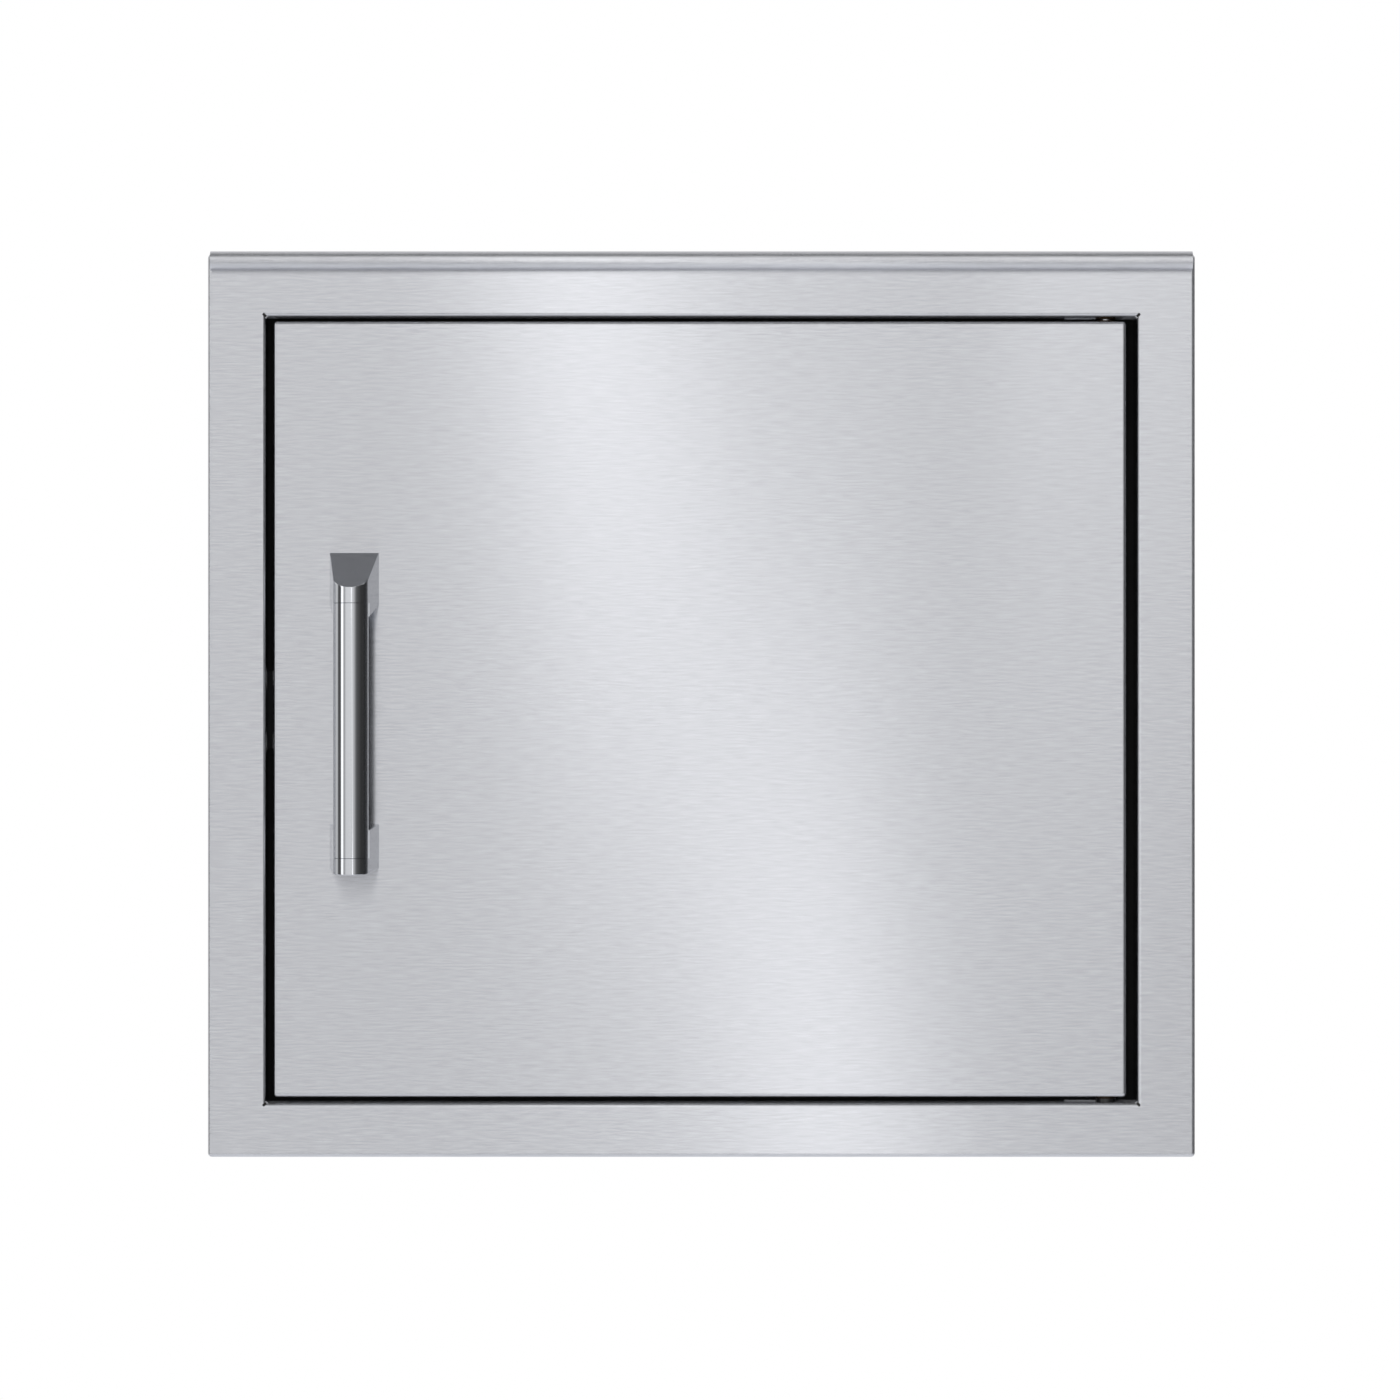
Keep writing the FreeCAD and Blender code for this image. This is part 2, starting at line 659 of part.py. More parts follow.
def catch_screws():
    """Pan-head screws through the catch's ears."""
    seat = -OPEN_X + CATCH_BASE
    screws = []
    for z in catch_screw_places():
        tip = -CATCH_BASE - SHEET - CATCH_SCREW_TIP
        profile = head(PAN_CROWN, CATCH_SCREW_HEAD_RADIUS, CATCH_SCREW_HEAD_HEIGHT) + [
            (CATCH_SCREW_RADIUS, 0),
            (CATCH_SCREW_RADIUS, tip + CATCH_SCREW_TIP / 2),
            (CATCH_SCREW_RADIUS / 2, tip),
            (0, tip),
        ]
        screws.append(turned(profile, V(seat, catch_middle_y(), z), V(1, 0, 0)))
    return Part.makeCompound(screws)


def strike_x():
    """Limits of the strike plate on X, just inside the door's latch edge."""
    return (DOOR_LEFT + STRIKE_EDGE, DOOR_LEFT + STRIKE_EDGE + STRIKE_WIDTH)


def rivet_places():
    x = sum(strike_x()) / 2
    return [(x, side * RIVET_SPACING / 2) for side in (-1, 1)]


def rivet_drills(front, back):
    return [rod(RIVET_RADIUS, (x, front, z), (x, back, z)) for x, z in rivet_places()]


def strike_plate():
    """Steel plate on the back of the door that the magnet holds."""
    half = STRIKE_HEIGHT / 2
    plate = box(strike_x(), (DOOR_BACK, STRIKE_BACK), (-half, half))
    return plate.cut(Part.makeCompound(rivet_drills(DOOR_BACK - PAST, STRIKE_BACK + PAST)))


def strike_rivets():
    """Domed rivets that hold the strike plate on the liner."""
    rivets = []
    for x, z in rivet_places():
        inside = -STRIKE_THICKNESS - LINER_SHEET
        profile = head(RIVET_CROWN, RIVET_HEAD_RADIUS, RIVET_HEAD_HEIGHT) + [
            (RIVET_RADIUS, 0),
            (RIVET_RADIUS, inside),
            (RIVET_SET_RADIUS, inside),
            (RIVET_SET_RADIUS, inside - RIVET_HEAD_HEIGHT),
            (0, inside - RIVET_HEAD_HEIGHT),
        ]
        rivets.append(turned(profile, V(x, STRIKE_BACK, z), V(0, 1, 0)))
    return Part.makeCompound(rivets)


# Door shells

def door_skin():
    """Outer pan with bent edges, drilled for the handle and both pivots."""
    bend = BEND_INSIDE + SHEET
    skin = pan((DOOR_LEFT, DOOR_RIGHT), (DOOR_LOW, DOOR_HIGH), FACE, DOOR_BACK, SHEET, bend)
    drills = [rod(SCREW_CLEAR, (HANDLE_X, FACE - PAST, z), (HANDLE_X, SKIN_BACK + PAST, z))
              for z in screw_heights()]
    for z in (DOOR_LOW, DOOR_HIGH):
        drills.append(rod(BUSH_RADIUS, (PIVOT_X, PIVOT_Y, z - SHEET - PAST),
                          (PIVOT_X, PIVOT_Y, z + SHEET + PAST)))
    return skin.cut(Part.makeCompound(drills))


def window_limits():
    """The cut-out in the liner through which the spring bolt is reached."""
    x = (PIVOT_X - WINDOW_WIDTH / 2, PIVOT_X + WINDOW_WIDTH / 2)
    low = PULL_HEIGHT - BOLT_TRAVEL - PIN_RADIUS - PULL_CLEARANCE
    return x, (low, LOWER_EAR_TOP + WINDOW_ABOVE_EAR)


def door_liner():
    """Inner pan that closes the back, with its flanges inside the skin's edges."""
    inset = SHEET + LINER_FIT
    x = (DOOR_LEFT + inset, DOOR_RIGHT - inset)
    z = (DOOR_LOW + inset, DOOR_HIGH - inset)
    front = DOOR_BACK - LINER_FLANGE
    liner = pan(x, z, -DOOR_BACK, -front, LINER_SHEET, BEND_INSIDE + LINER_SHEET)
    liner = liner.mirror(V(0, 0, 0), V(0, 1, 0))
    window_x, window_z = window_limits()
    before = LINER_FRONT - PAST
    beyond = DOOR_BACK + PAST
    window = box(window_x, (before, beyond), window_z)
    window = window.makeFillet(WINDOW_CORNER, upright_corners(window, before, beyond))
    cuts = [window] + rivet_drills(before, beyond)
    cuts += [rod(SCREW_CLEAR, (HANDLE_X, before, z), (HANDLE_X, beyond, z))
             for z in screw_heights()]
    notch_x = (PIVOT_X - LINER_NOTCH, PIVOT_X + LINER_NOTCH)
    for edge in (DOOR_LOW, DOOR_HIGH):
        reach = inset + LINER_SHEET + BEND_INSIDE
        cuts.append(box(notch_x, (front - PAST, LINER_FRONT), (edge - reach, edge + reach)))
    return liner.cut(Part.makeCompound(cuts)).Solids[0]


# Handle

def screw_heights():
    return DOOR_MIDDLE - LOWER_SCREW, DOOR_MIDDLE + UPPER_SCREW


def bar_y():
    return FACE - BAR_STANDOFF


def handle_tube():
    """Round tube between the two end posts, its ends broken so that the seams show."""
    low = (HANDLE_X, bar_y(), DOOR_MIDDLE - LOWER_SEAM)
    high = (HANDLE_X, bar_y(), DOOR_MIDDLE + UPPER_SEAM)
    bar = rod(BAR_RADIUS, low, high)
    ends = edges_where(bar, lambda p: near(p.z, low[2]) or near(p.z, high[2]))
    bar = bar.makeChamfer(BAR_END_CHAMFER, ends)
    return bar.cut(rod(BAR_RADIUS - BAR_WALL, low, high))


def post_plan():
    """Plan outline of a post: a wide foot narrowing to the bar's round front."""
    half = FOOT_WIDTH / 2
    centre = V(HANDLE_X, bar_y(), 0)
    foot = V(half, BAR_STANDOFF, 0)
    lead = math.atan2(foot.y, foot.x) - math.acos(BAR_RADIUS / foot.Length)
    touch = V(BAR_RADIUS * math.cos(lead), BAR_RADIUS * math.sin(lead), 0)
    right = centre + touch
    left = centre + V(-touch.x, touch.y, 0)
    foot_right = V(HANDLE_X + half, FACE, 0)
    foot_left = V(HANDLE_X - half, FACE, 0)
    edges = [
        Part.makeLine(foot_left, foot_right),
        Part.makeLine(foot_right, right),
        Part.Arc(right, centre - V(0, BAR_RADIUS, 0), left).toShape(),
        Part.makeLine(left, foot_left),
    ]
    return Part.Face(Part.Wire(edges))


def side_cut(points):
    """A block with the side outline given as (distance off the door, height)."""
    outline = flat_face([(FACE - off, DOOR_MIDDLE + height) for off, height in points])
    return along_x(outline, (HANDLE_X - FOOT_WIDTH, HANDLE_X + FOOT_WIDTH))


def post(points, seam, inward, height):
    """An end post: plan and side outlines met, a saddle for the tube and a spigot in it."""
    tall = LOWER_FOOT_BOTTOM + BAR_STANDOFF
    plan = along_z(post_plan(), (DOOR_MIDDLE - tall, DOOR_MIDDLE + tall))
    body = plan.common(side_cut(points))
    if HANDLE_EDGE_ROUND > 0:
        body = body.makeFillet(HANDLE_EDGE_ROUND, post_rims(body, seam))
    start = (HANDLE_X, bar_y(), DOOR_MIDDLE + seam)
    beyond = (HANDLE_X, bar_y(), DOOR_MIDDLE + seam + inward * tall)
    end = (HANDLE_X, bar_y(), DOOR_MIDDLE + seam + inward * SPIGOT_LENGTH)
    body = body.cut(rod(BAR_RADIUS + SADDLE_FIT, start, beyond))
    body = body.fuse(rod(BAR_RADIUS - BAR_WALL - SPIGOT_FIT, start, end)).removeSplitter()
    hole = rod(SCREW_RADIUS + FIXED_FIT, (HANDLE_X, FACE + PAST, DOOR_MIDDLE + height),
               (HANDLE_X, FACE - SCREW_HOLE_DEPTH, DOOR_MIDDLE + height))
    return body.cut(hole).Solids[0]


def post_rims(body, seam):
    """The edges round a post's free end, away from the door and the tube."""
    sign = 1 if seam > 0 else -1
    edge = DOOR_MIDDLE + seam

    def on_end(p):
        return sign * (p.z - edge) > ROUND_FROM and p.y < FACE - ROUND_FROM
    return edges_where(body, on_end)


def handle_post_upper():
    """The post whose free end is a flat slant, lower at the front."""
    front = BAR_FRONT + PAST
    slant = math.tan(math.radians(TOP_SLANT))
    under = math.tan(math.radians(UPPER_UNDERCUT))
    points = [
        (0, UPPER_FOOT_TOP),
        (FOOT_PAD, UPPER_FOOT_TOP),
        (front, UPPER_NOSE - PAST * slant),
        (front, UPPER_SEAM),
        (SADDLE_EDGE, UPPER_SEAM),
        (SADDLE_EDGE, UPPER_FOOT_BOTTOM - SADDLE_EDGE * under),
        (0, UPPER_FOOT_BOTTOM),
    ]
    return post(points, UPPER_SEAM, -1, UPPER_SCREW)


def handle_post_lower():
    """The post whose free end is nearly square to the bar."""
    front = BAR_FRONT + PAST
    shelf = math.tan(math.radians(SHELF_RAKE))
    rake = math.tan(math.radians(LOWER_END_RAKE))
    points = [
        (0, -LOWER_FOOT_TOP),
        (SADDLE_EDGE, -LOWER_FOOT_TOP - SADDLE_EDGE * shelf),
        (SADDLE_EDGE, -LOWER_SEAM),
        (front, -LOWER_SEAM),
        (front, -LOWER_NOSE - PAST * rake),
        (0, -LOWER_FOOT_BOTTOM),
    ]
    return post(points, -LOWER_SEAM, 1, -LOWER_SCREW)


def handle_backing_plate():
    """Strip behind the skin that spreads the load of both handle screws."""
    low, high = screw_heights()
    plate = box((HANDLE_X - BACKING_WIDTH / 2, HANDLE_X + BACKING_WIDTH / 2),
                (SKIN_BACK, SKIN_BACK + BACKING_THICKNESS),
                (low - BACKING_OVERHANG, high + BACKING_OVERHANG))
    drills = [rod(SCREW_CLEAR, (HANDLE_X, FACE, z), (HANDLE_X, 0, z)) for z in (low, high)]
    return plate.cut(Part.makeCompound(drills))


def handle_spacers():
    """Sleeves that keep the liner from being pulled in by the screws."""
    front = SKIN_BACK + BACKING_THICKNESS
    return Part.makeCompound([ring_y(SPACER_RADIUS, front, LINER_FRONT, z)
                              for z in screw_heights()])


def handle_washers():
    return Part.makeCompound([ring_y(WASHER_RADIUS, DOOR_BACK, DOOR_BACK + WASHER_THICKNESS, z)
                              for z in screw_heights()])


def ring_y(radius, front, back, z):
    """A ring round a handle screw."""
    start = (HANDLE_X, front, z)
    end = (HANDLE_X, back, z)
    return rod(radius, start, end).cut(rod(SCREW_CLEAR, start, end))


def handle_screws():
    """Button-head screws from the liner through the door into the posts."""
    seat = DOOR_BACK + WASHER_THICKNESS
    tip = FACE - SCREW_IN_POST - seat
    screws = []
    for z in screw_heights():
        profile = head(BUTTON_CROWN, SCREW_HEAD_RADIUS, SCREW_HEAD_HEIGHT) + [
            (SCREW_RADIUS, 0),
            (SCREW_RADIUS, tip + SCREW_TIP_CHAMFER),
            (SCREW_RADIUS - SCREW_TIP_CHAMFER, tip),
            (0, tip),
        ]
        screw = turned(profile, V(HANDLE_X, seat, z), V(0, 1, 0))
        screws.append(screw.cut(hex_socket(seat + SCREW_HEAD_HEIGHT, z)))
    return Part.makeCompound(screws)


def hex_socket(top, z):
    """Six-sided key recess in a screw head."""
    radius = SOCKET_FLATS / 2 / math.cos(math.pi / 6)
    corners = []
    for i in range(7):
        angle = i * math.pi / 3
        corners.append(V(HANDLE_X + radius * math.cos(angle), top + PAST,
                         z + radius * math.sin(angle)))
    return Part.Face(Part.makePolygon(corners)).extrude(V(0, -SOCKET_DEPTH - PAST, 0))


# Lower pivot

def pivot_plate(low):
    """Doubler plate on a level collar wall, inside the hollow of the trim, short of the corner weld."""
    end = OPEN_X + SHEET - CORNER_WELD - PIVOT_PLATE_WELD_GAP
    x = (end - PIVOT_PLATE_LENGTH, end)
    y = (PIVOT_Y - PIVOT_PLATE_DEPTH / 2, PIVOT_Y + PIVOT_PLATE_DEPTH / 2)
    return box(x, y, (low, low + PIVOT_PLATE_THICKNESS))


def drilled(plate, radius):
    """A plate with a hole on the pivot's axis."""
    limits = plate.BoundBox
    return plate.cut(rod(radius, (PIVOT_X, PIVOT_Y, limits.ZMin - PAST),
                         (PIVOT_X, PIVOT_Y, limits.ZMax + PAST)))


def lower_pivot_plate():
    plate = pivot_plate(-OPEN_Z - SHEET - PIVOT_PLATE_THICKNESS)
    return drilled(plate, PIN_RADIUS + FIXED_FIT)


def lower_pivot_pin():
    """Headed pin through the plate and the collar's bottom wall, standing up into the door."""
    seat = -OPEN_Z - SHEET - PIVOT_PLATE_THICKNESS
    top = DOOR_LOW + PIN_ABOVE_EDGE - seat
    profile = [
        (0, -PIN_HEAD_HEIGHT),
        (PIN_HEAD_RADIUS - PIN_CHAMFER, -PIN_HEAD_HEIGHT),
        (PIN_HEAD_RADIUS, -PIN_HEAD_HEIGHT + PIN_CHAMFER),
        (PIN_HEAD_RADIUS, 0),
        (PIN_RADIUS, 0),
        (PIN_RADIUS, top - PIN_CHAMFER),
        (PIN_RADIUS - PIN_CHAMFER, top),
        (0, top),
    ]
    return turned(profile, V(PIVOT_X, PIVOT_Y, seat), V(0, 0, 1))


def lower_thrust_washer():
    """Washer on the collar's bottom wall that takes the door's weight."""
    low = (PIVOT_X, PIVOT_Y, -OPEN_Z)
    high = (PIVOT_X, PIVOT_Y, -OPEN_Z + THRUST_WASHER)
    return rod(BUSH_FLANGE_RADIUS, low, high).cut(rod(PIN_RADIUS + FIXED_FIT, low, high))


def lower_pivot_bush():
    """Flanged bush in the door's bottom edge; its flange runs on the washer."""
    flange = GAP_BOTTOM - THRUST_WASHER - THRUST_GAP
    return bush(BORE_RADIUS, BUSH_RADIUS, BUSH_FLANGE_RADIUS, flange, PIVOT_X, PIVOT_Y,
                DOOR_LOW - flange, DOOR_LOW - flange, DOOR_LOW + LOWER_BUSH_ABOVE_EDGE)


def lower_hinge_bracket():
    """Thick angle inside the door's bottom corner that holds the bush."""
    floor = DOOR_LOW + SHEET
    points = [
        (SKIN_BACK + HINGE_BRACKET_REACH, floor),
        (SKIN_BACK, floor),
        (SKIN_BACK, floor + HINGE_BRACKET_HEIGHT),
    ]
    section = sheet_section(points, HINGE_BRACKET_THICKNESS, [HINGE_BRACKET_BEND])
    half = HINGE_BRACKET_WIDTH / 2
    return drilled(along_x(section, (PIVOT_X - half, PIVOT_X + half)), BUSH_RADIUS + FIXED_FIT)


# Upper pivot and its spring bolt

def upper_pivot_plate():
    return drilled(pivot_plate(OPEN_Z + SHEET), BUSH_RADIUS + FIXED_FIT)


def upper_pivot_bush():
    """Flanged bush in the collar's top wall that the bolt springs into."""
    top = OPEN_Z + SHEET + PIVOT_PLATE_THICKNESS + UPPER_BUSH_ABOVE_PLATE
    return bush(BORE_RADIUS, BUSH_RADIUS, BUSH_FLANGE_RADIUS, UPPER_BUSH_FLANGE, PIVOT_X, PIVOT_Y,
                OPEN_Z - UPPER_BUSH_FLANGE, OPEN_Z - UPPER_BUSH_FLANGE, top)


def upper_guide_bush():
    """Flanged bush in the door's top edge that guides the bolt."""
    return bush(BORE_RADIUS, BUSH_RADIUS, BUSH_FLANGE_RADIUS, GUIDE_BUSH_FLANGE, PIVOT_X, PIVOT_Y,
                DOOR_HIGH, DOOR_HIGH - GUIDE_BUSH_BELOW_EDGE, DOOR_HIGH + GUIDE_BUSH_FLANGE)


def bolt_bracket():
    """Channel against the skin with an ear above and below the spring."""
    back = SKIN_BACK + EAR_REACH
    points = [
        (back, LOWER_EAR_BOTTOM),
        (SKIN_BACK, LOWER_EAR_BOTTOM),
        (SKIN_BACK, BRACKET_TOP),
        (back, BRACKET_TOP),
    ]
    section = sheet_section(points, EAR_THICKNESS, [EAR_BEND, EAR_BEND])
    bracket = along_x(section, (PIVOT_X - EAR_WIDTH / 2, PIVOT_X + EAR_WIDTH / 2))
    upper = rod(BUSH_RADIUS + FIXED_FIT, (PIVOT_X, PIVOT_Y, BRACKET_TOP - EAR_THICKNESS - PAST),
                (PIVOT_X, PIVOT_Y, BRACKET_TOP + PAST))
    lower = rod(BORE_RADIUS, (PIVOT_X, PIVOT_Y, LOWER_EAR_BOTTOM - PAST),
                (PIVOT_X, PIVOT_Y, LOWER_EAR_TOP + PAST))
    return bracket.cut(Part.makeCompound([upper, lower]))


def pivot_bolt():
    """Round bolt with a clip groove, bent back at its foot as a finger pull."""
    bend_top = PULL_HEIGHT + PULL_BEND
    groove_top = CLIP_TOP + GROOVE_FIT
    groove_low = CLIP_TOP - CLIP_THICKNESS - GROOVE_FIT
    profile = [
        (0, bend_top),
        (PIN_RADIUS, bend_top),
        (PIN_RADIUS, groove_low),
        (PIN_RADIUS - GROOVE_DEPTH, groove_low),
        (PIN_RADIUS - GROOVE_DEPTH, groove_top),
        (PIN_RADIUS, groove_top),
        (PIN_RADIUS, BOLT_TOP - PIN_CHAMFER),
        (PIN_RADIUS - PIN_CHAMFER, BOLT_TOP),
        (0, BOLT_TOP),
    ]
    stem = turned(profile, V(PIVOT_X, PIVOT_Y, 0), V(0, 0, 1))
    end = Part.Face(Part.Wire(Part.makeCircle(PIN_RADIUS, V(PIVOT_X, PIVOT_Y, bend_top))))
    turn = end.revolve(V(PIVOT_X, PIVOT_Y + PULL_BEND, bend_top), V(1, 0, 0), 90)
    arm = rod(PIN_RADIUS, (PIVOT_X, PIVOT_Y + PULL_BEND, PULL_HEIGHT),
              (PIVOT_X, PIVOT_Y + PULL_REACH, PULL_HEIGHT))
    return joined(stem, turn, arm)


def bolt_clip():
    """Open retaining ring in the bolt's groove."""
    low = (PIVOT_X, PIVOT_Y, CLIP_TOP - CLIP_THICKNESS)
    high = (PIVOT_X, PIVOT_Y, CLIP_TOP)
    inner = PIN_RADIUS - GROOVE_DEPTH + GROOVE_FIT
    ring = rod(CLIP_RADIUS, low, high).cut(rod(inner, low, high))
    half = inner * CLIP_MOUTH
    mouth = box((PIVOT_X - half, PIVOT_X + half), (PIVOT_Y, PIVOT_Y + CLIP_RADIUS + PAST),
                (low[2] - PAST, high[2] + PAST))
    return ring.cut(mouth)


def bolt_grip():
    """Vinyl sleeve pushed over the end of the finger pull."""
    bottom = PIVOT_Y + PULL_REACH + FIXED_FIT
    cap = bottom + GRIP_RADIUS - PIN_RADIUS
    start = (PIVOT_X, cap - GRIP_LENGTH, PULL_HEIGHT)
    sleeve = rod(GRIP_RADIUS, start, (PIVOT_X, cap, PULL_HEIGHT))
    rim = edges_where(sleeve, lambda p: near(p.y, cap))
    sleeve = sleeve.makeFillet(GRIP_ROUND, rim[:1])
    return sleeve.cut(rod(PIN_RADIUS + FIXED_FIT, start, (PIVOT_X, bottom, PULL_HEIGHT)))


# Coil spring, as arcs through the quarters of each turn

def spring_nodes():
    """Centre points and directions at each quarter turn of the spring's wire."""
    low = LOWER_EAR_TOP + SPRING_SEAT_GAP + SPRING_WIRE / 2
    high = CLIP_TOP - CLIP_THICKNESS - SPRING_SEAT_GAP - SPRING_WIRE / 2
    quarters = 4 * (SPRING_TURNS + 2)
    weights = []
    for i in range(quarters):
        turn = (i + 0.5) / 4
        inside = min(turn - 1, SPRING_TURNS + 1 - turn)
        weights.append(min(max(inside / SPRING_RAMP_TURNS, 0), 1))
    spare = (high - low) - quarters * SPRING_END_PITCH / 4
    steps = [SPRING_END_PITCH / 4 + spare * w / sum(weights) for w in weights]
    heights = [low]
    for step in steps:
        heights.append(heights[-1] + step)
    nodes = []
    for i, z in enumerate(heights):
        angle = i * math.pi / 2
        before = steps[max(i - 1, 0)]
        after = steps[min(i, quarters - 1)]
        rise = (before + after) / 2 / (math.pi / 2)
        point = V(PIVOT_X + SPRING_MEAN_RADIUS * math.cos(angle),
                  PIVOT_Y + SPRING_MEAN_RADIUS * math.sin(angle), z)
        along = V(-SPRING_MEAN_RADIUS * math.sin(angle), SPRING_MEAN_RADIUS * math.cos(angle), rise)
        nodes.append((point, along.normalize()))
    return nodes


def arc_from(start, corner, end):
    """An arc that leaves and arrives along the two sides of an even corner."""
    chord = (start + end) * 0.5
    out = corner - chord
    half = (end - start).Length / 2
    side = (corner - start).Length
    sagitta = half * math.tan(math.acos(half / side) / 2)
    return Part.Arc(start, chord + out.normalize() * sagitta, end).toShape()


def spring_path():
    """Two arcs for each quarter turn, running smoothly into each other."""
    edges = []
    nodes = spring_nodes()
    for (p, a), (q, b) in zip(nodes, nodes[1:]):
        across = q - p
        both = a + b
        spread = 2 * (1 - a.dot(b))
        reach = across.dot(both)
        side = (-reach + math.sqrt(reach ** 2 + spread * across.dot(across))) / spread
        first = p + a * side
        second = q - b * side
        middle = (first + second) * 0.5
        edges.append(arc_from(p, first, middle))
        edges.append(arc_from(middle, second, q))
    return edges


def spring_gap(edges):
    """Least clear distance of the wire from its own other turns, measured on points."""
    samples = 4
    points = []
    for edge in edges:
        for i in range(samples):
            share = i / samples
            points.append(edge.valueAt(edge.FirstParameter * (1 - share)
                                       + edge.LastParameter * share))
    arcs_per_quarter = 2
    half_turn = 2 * arcs_per_quarter * samples
    least = min((points[j] - points[i]).Length
                for i in range(len(points)) for j in range(i + half_turn, len(points)))
    return least - SPRING_WIRE


def bolt_spring():
    """Compression spring between the lower ear and the clip."""
    edges = spring_path()
    print("spring: least gap to itself %.2f mm" % spring_gap(edges))
    start, along = spring_nodes()[0]
    ring = Part.Wire(Part.makeCircle(SPRING_WIRE / 2, start, along))
    return Part.Wire(edges).makePipeShell([ring], True, False)


PIECES = [
    face_frame,
    drip_cap,
    stop_side_upper,
    stop_side_lower,
    stop_top,
    stop_bottom,
    stop_hinge_side,
    door_seal,
    door_bumpers,
    catch_housing,
    catch_magnet,
    catch_pole_plates,
    catch_screws,
    lower_pivot_plate,
    lower_pivot_pin,
    lower_thrust_washer,
    upper_pivot_plate,
    upper_pivot_bush,
    door_skin,
    door_liner,
    handle_tube,
    handle_post_upper,
    handle_post_lower,
    handle_backing_plate,
    handle_spacers,
    handle_washers,
    handle_screws,
    strike_plate,
    strike_rivets,
    lower_pivot_bush,
    lower_hinge_bracket,
    upper_guide_bush,
    bolt_bracket,
    bolt_spring,
    pivot_bolt,
    bolt_clip,
    bolt_grip,
]

os.makedirs("parts", exist_ok=True)
for piece in PIECES:
    piece().exportStep("parts/%s.step" % piece.__name__)
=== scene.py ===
"""The looks of a flush stainless access door for a masonry grill island.

The trim frame, the door, its pivots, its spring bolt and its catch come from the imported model.
This file gives each of them its finish, adds the marks and small parts that only show, such as
spot welds and the recesses of the catch's screws, and sets up the studio and the camera.
"""

import math

import bmesh
import bpy
from bpy.props import FloatProperty, PointerProperty, StringProperty
from mathutils import Matrix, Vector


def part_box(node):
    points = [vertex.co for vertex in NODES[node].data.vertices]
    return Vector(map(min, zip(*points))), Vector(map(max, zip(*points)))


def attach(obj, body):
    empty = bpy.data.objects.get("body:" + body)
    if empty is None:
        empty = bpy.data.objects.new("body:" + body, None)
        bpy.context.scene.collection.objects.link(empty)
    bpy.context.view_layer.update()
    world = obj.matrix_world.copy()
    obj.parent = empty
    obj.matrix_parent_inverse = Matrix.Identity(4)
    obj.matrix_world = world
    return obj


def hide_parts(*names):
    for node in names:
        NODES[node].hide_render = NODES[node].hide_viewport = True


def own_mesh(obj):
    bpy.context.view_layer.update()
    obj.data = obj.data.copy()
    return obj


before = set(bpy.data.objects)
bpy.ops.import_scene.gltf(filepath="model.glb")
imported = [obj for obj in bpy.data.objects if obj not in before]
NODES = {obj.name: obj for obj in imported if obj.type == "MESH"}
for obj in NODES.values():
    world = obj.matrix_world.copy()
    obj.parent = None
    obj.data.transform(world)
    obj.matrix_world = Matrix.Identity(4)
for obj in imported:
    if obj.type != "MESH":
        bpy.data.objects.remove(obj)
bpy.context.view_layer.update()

bl_info = {
    "name": "Island Access Door",
    "version": (1, 0, 0),
    "blender": (4, 5, 0),
    "location": "View3D > Sidebar > Access Door",
    "description": "Finishes, small parts and studio for a flush stainless access door",
    "category": "Object",
}

MM = 0.001

# Two places nearer than this are one place.
SAME_PLACE = 0.001 * MM

# A sheet whose normal leans this far along X has been bent round to face sideways.
SIDEWAYS = 0.7

# Where faces of the spring turn by less than this, they are shaded as one.
SMOOTH_BELOW = math.radians(40)

# The flat top of a spot weld and its dimple, as shares of its radius
SPOT_SHOULDER, DIMPLE_REACH = 0.9, 0.7

# How long a weld's ripple is along its bead, as a share of its width
RIPPLE_SHARE = 0.65

# How much of the height of a screw's head is rounded
CROWN_SHARE = 0.7

# How finely the small parts are divided
SPOT_SIDES, SPOT_RINGS = 28, 5
RIPPLE_SIDES, RIPPLE_RINGS = 16, 8
CROWN_STEPS, LATHE_STEPS = 7, 40
PAD_ROUND_STEPS = 3


# Nodes and materials

def linear(colour):
    """An sRGB colour written as six hex digits, as the linear RGBA that a shader takes."""
    shares = (int(colour[at:at + 2], 16) / 255 for at in (0, 2, 4))
    steps = [c / 12.92 if c <= 0.04045 else ((c + 0.055) / 1.055) ** 2.4 for c in shares]
    return (*steps, 1.0)


def add(tree, kind, inputs=None, **settings):
    """Adds a node to a tree, with its settings, and fills its inputs with values or with links."""
    made = tree.nodes.new(kind)
    for name, value in settings.items():
        setattr(made, name, value)
    for name, value in (inputs or {}).items():
        if isinstance(value, bpy.types.NodeSocket):
            tree.links.new(value, made.inputs[name])
        else:
            made.inputs[name].default_value = value
    return made


def finish_with(make, look, *names):
    """Gives CAD nodes a finish in place of the plain material that they came with."""
    material = finish(make, look)
    for name in names:
        for slot in NODES[name].material_slots:
            slot.material = material


def finish(make, look):
    """The material that a function below makes, named after it. Each is made once."""
    known = bpy.data.materials.get(make.__name__)
    if known:
        return known
    material = bpy.data.materials.new(make.__name__)
    material.use_nodes = True
    material.node_tree.nodes.clear()
    make(material.node_tree, look)
    return material


def mottled(tree, grain, dark, light, stretch=(1, 1, 1)):
    """A soft pattern with spots of a size in metres: its value, and a colour between two."""
    place = add(tree, "ShaderNodeTexCoord")
    scale = [1 / (grain * share) for share in stretch]
    spread = add(tree, "ShaderNodeMapping", {"Vector": place.outputs["Object"], "Scale": scale})
    spots = add(tree, "ShaderNodeTexNoise", {
        "Vector": spread.outputs[0], "Scale": 1.0, "Detail": 3.0})
    colour = add(tree, "ShaderNodeMix", {
        0: spots.outputs["Fac"], 6: linear(dark), 7: linear(light)}, data_type="RGBA")
    return spots.outputs["Fac"], colour.outputs[2]


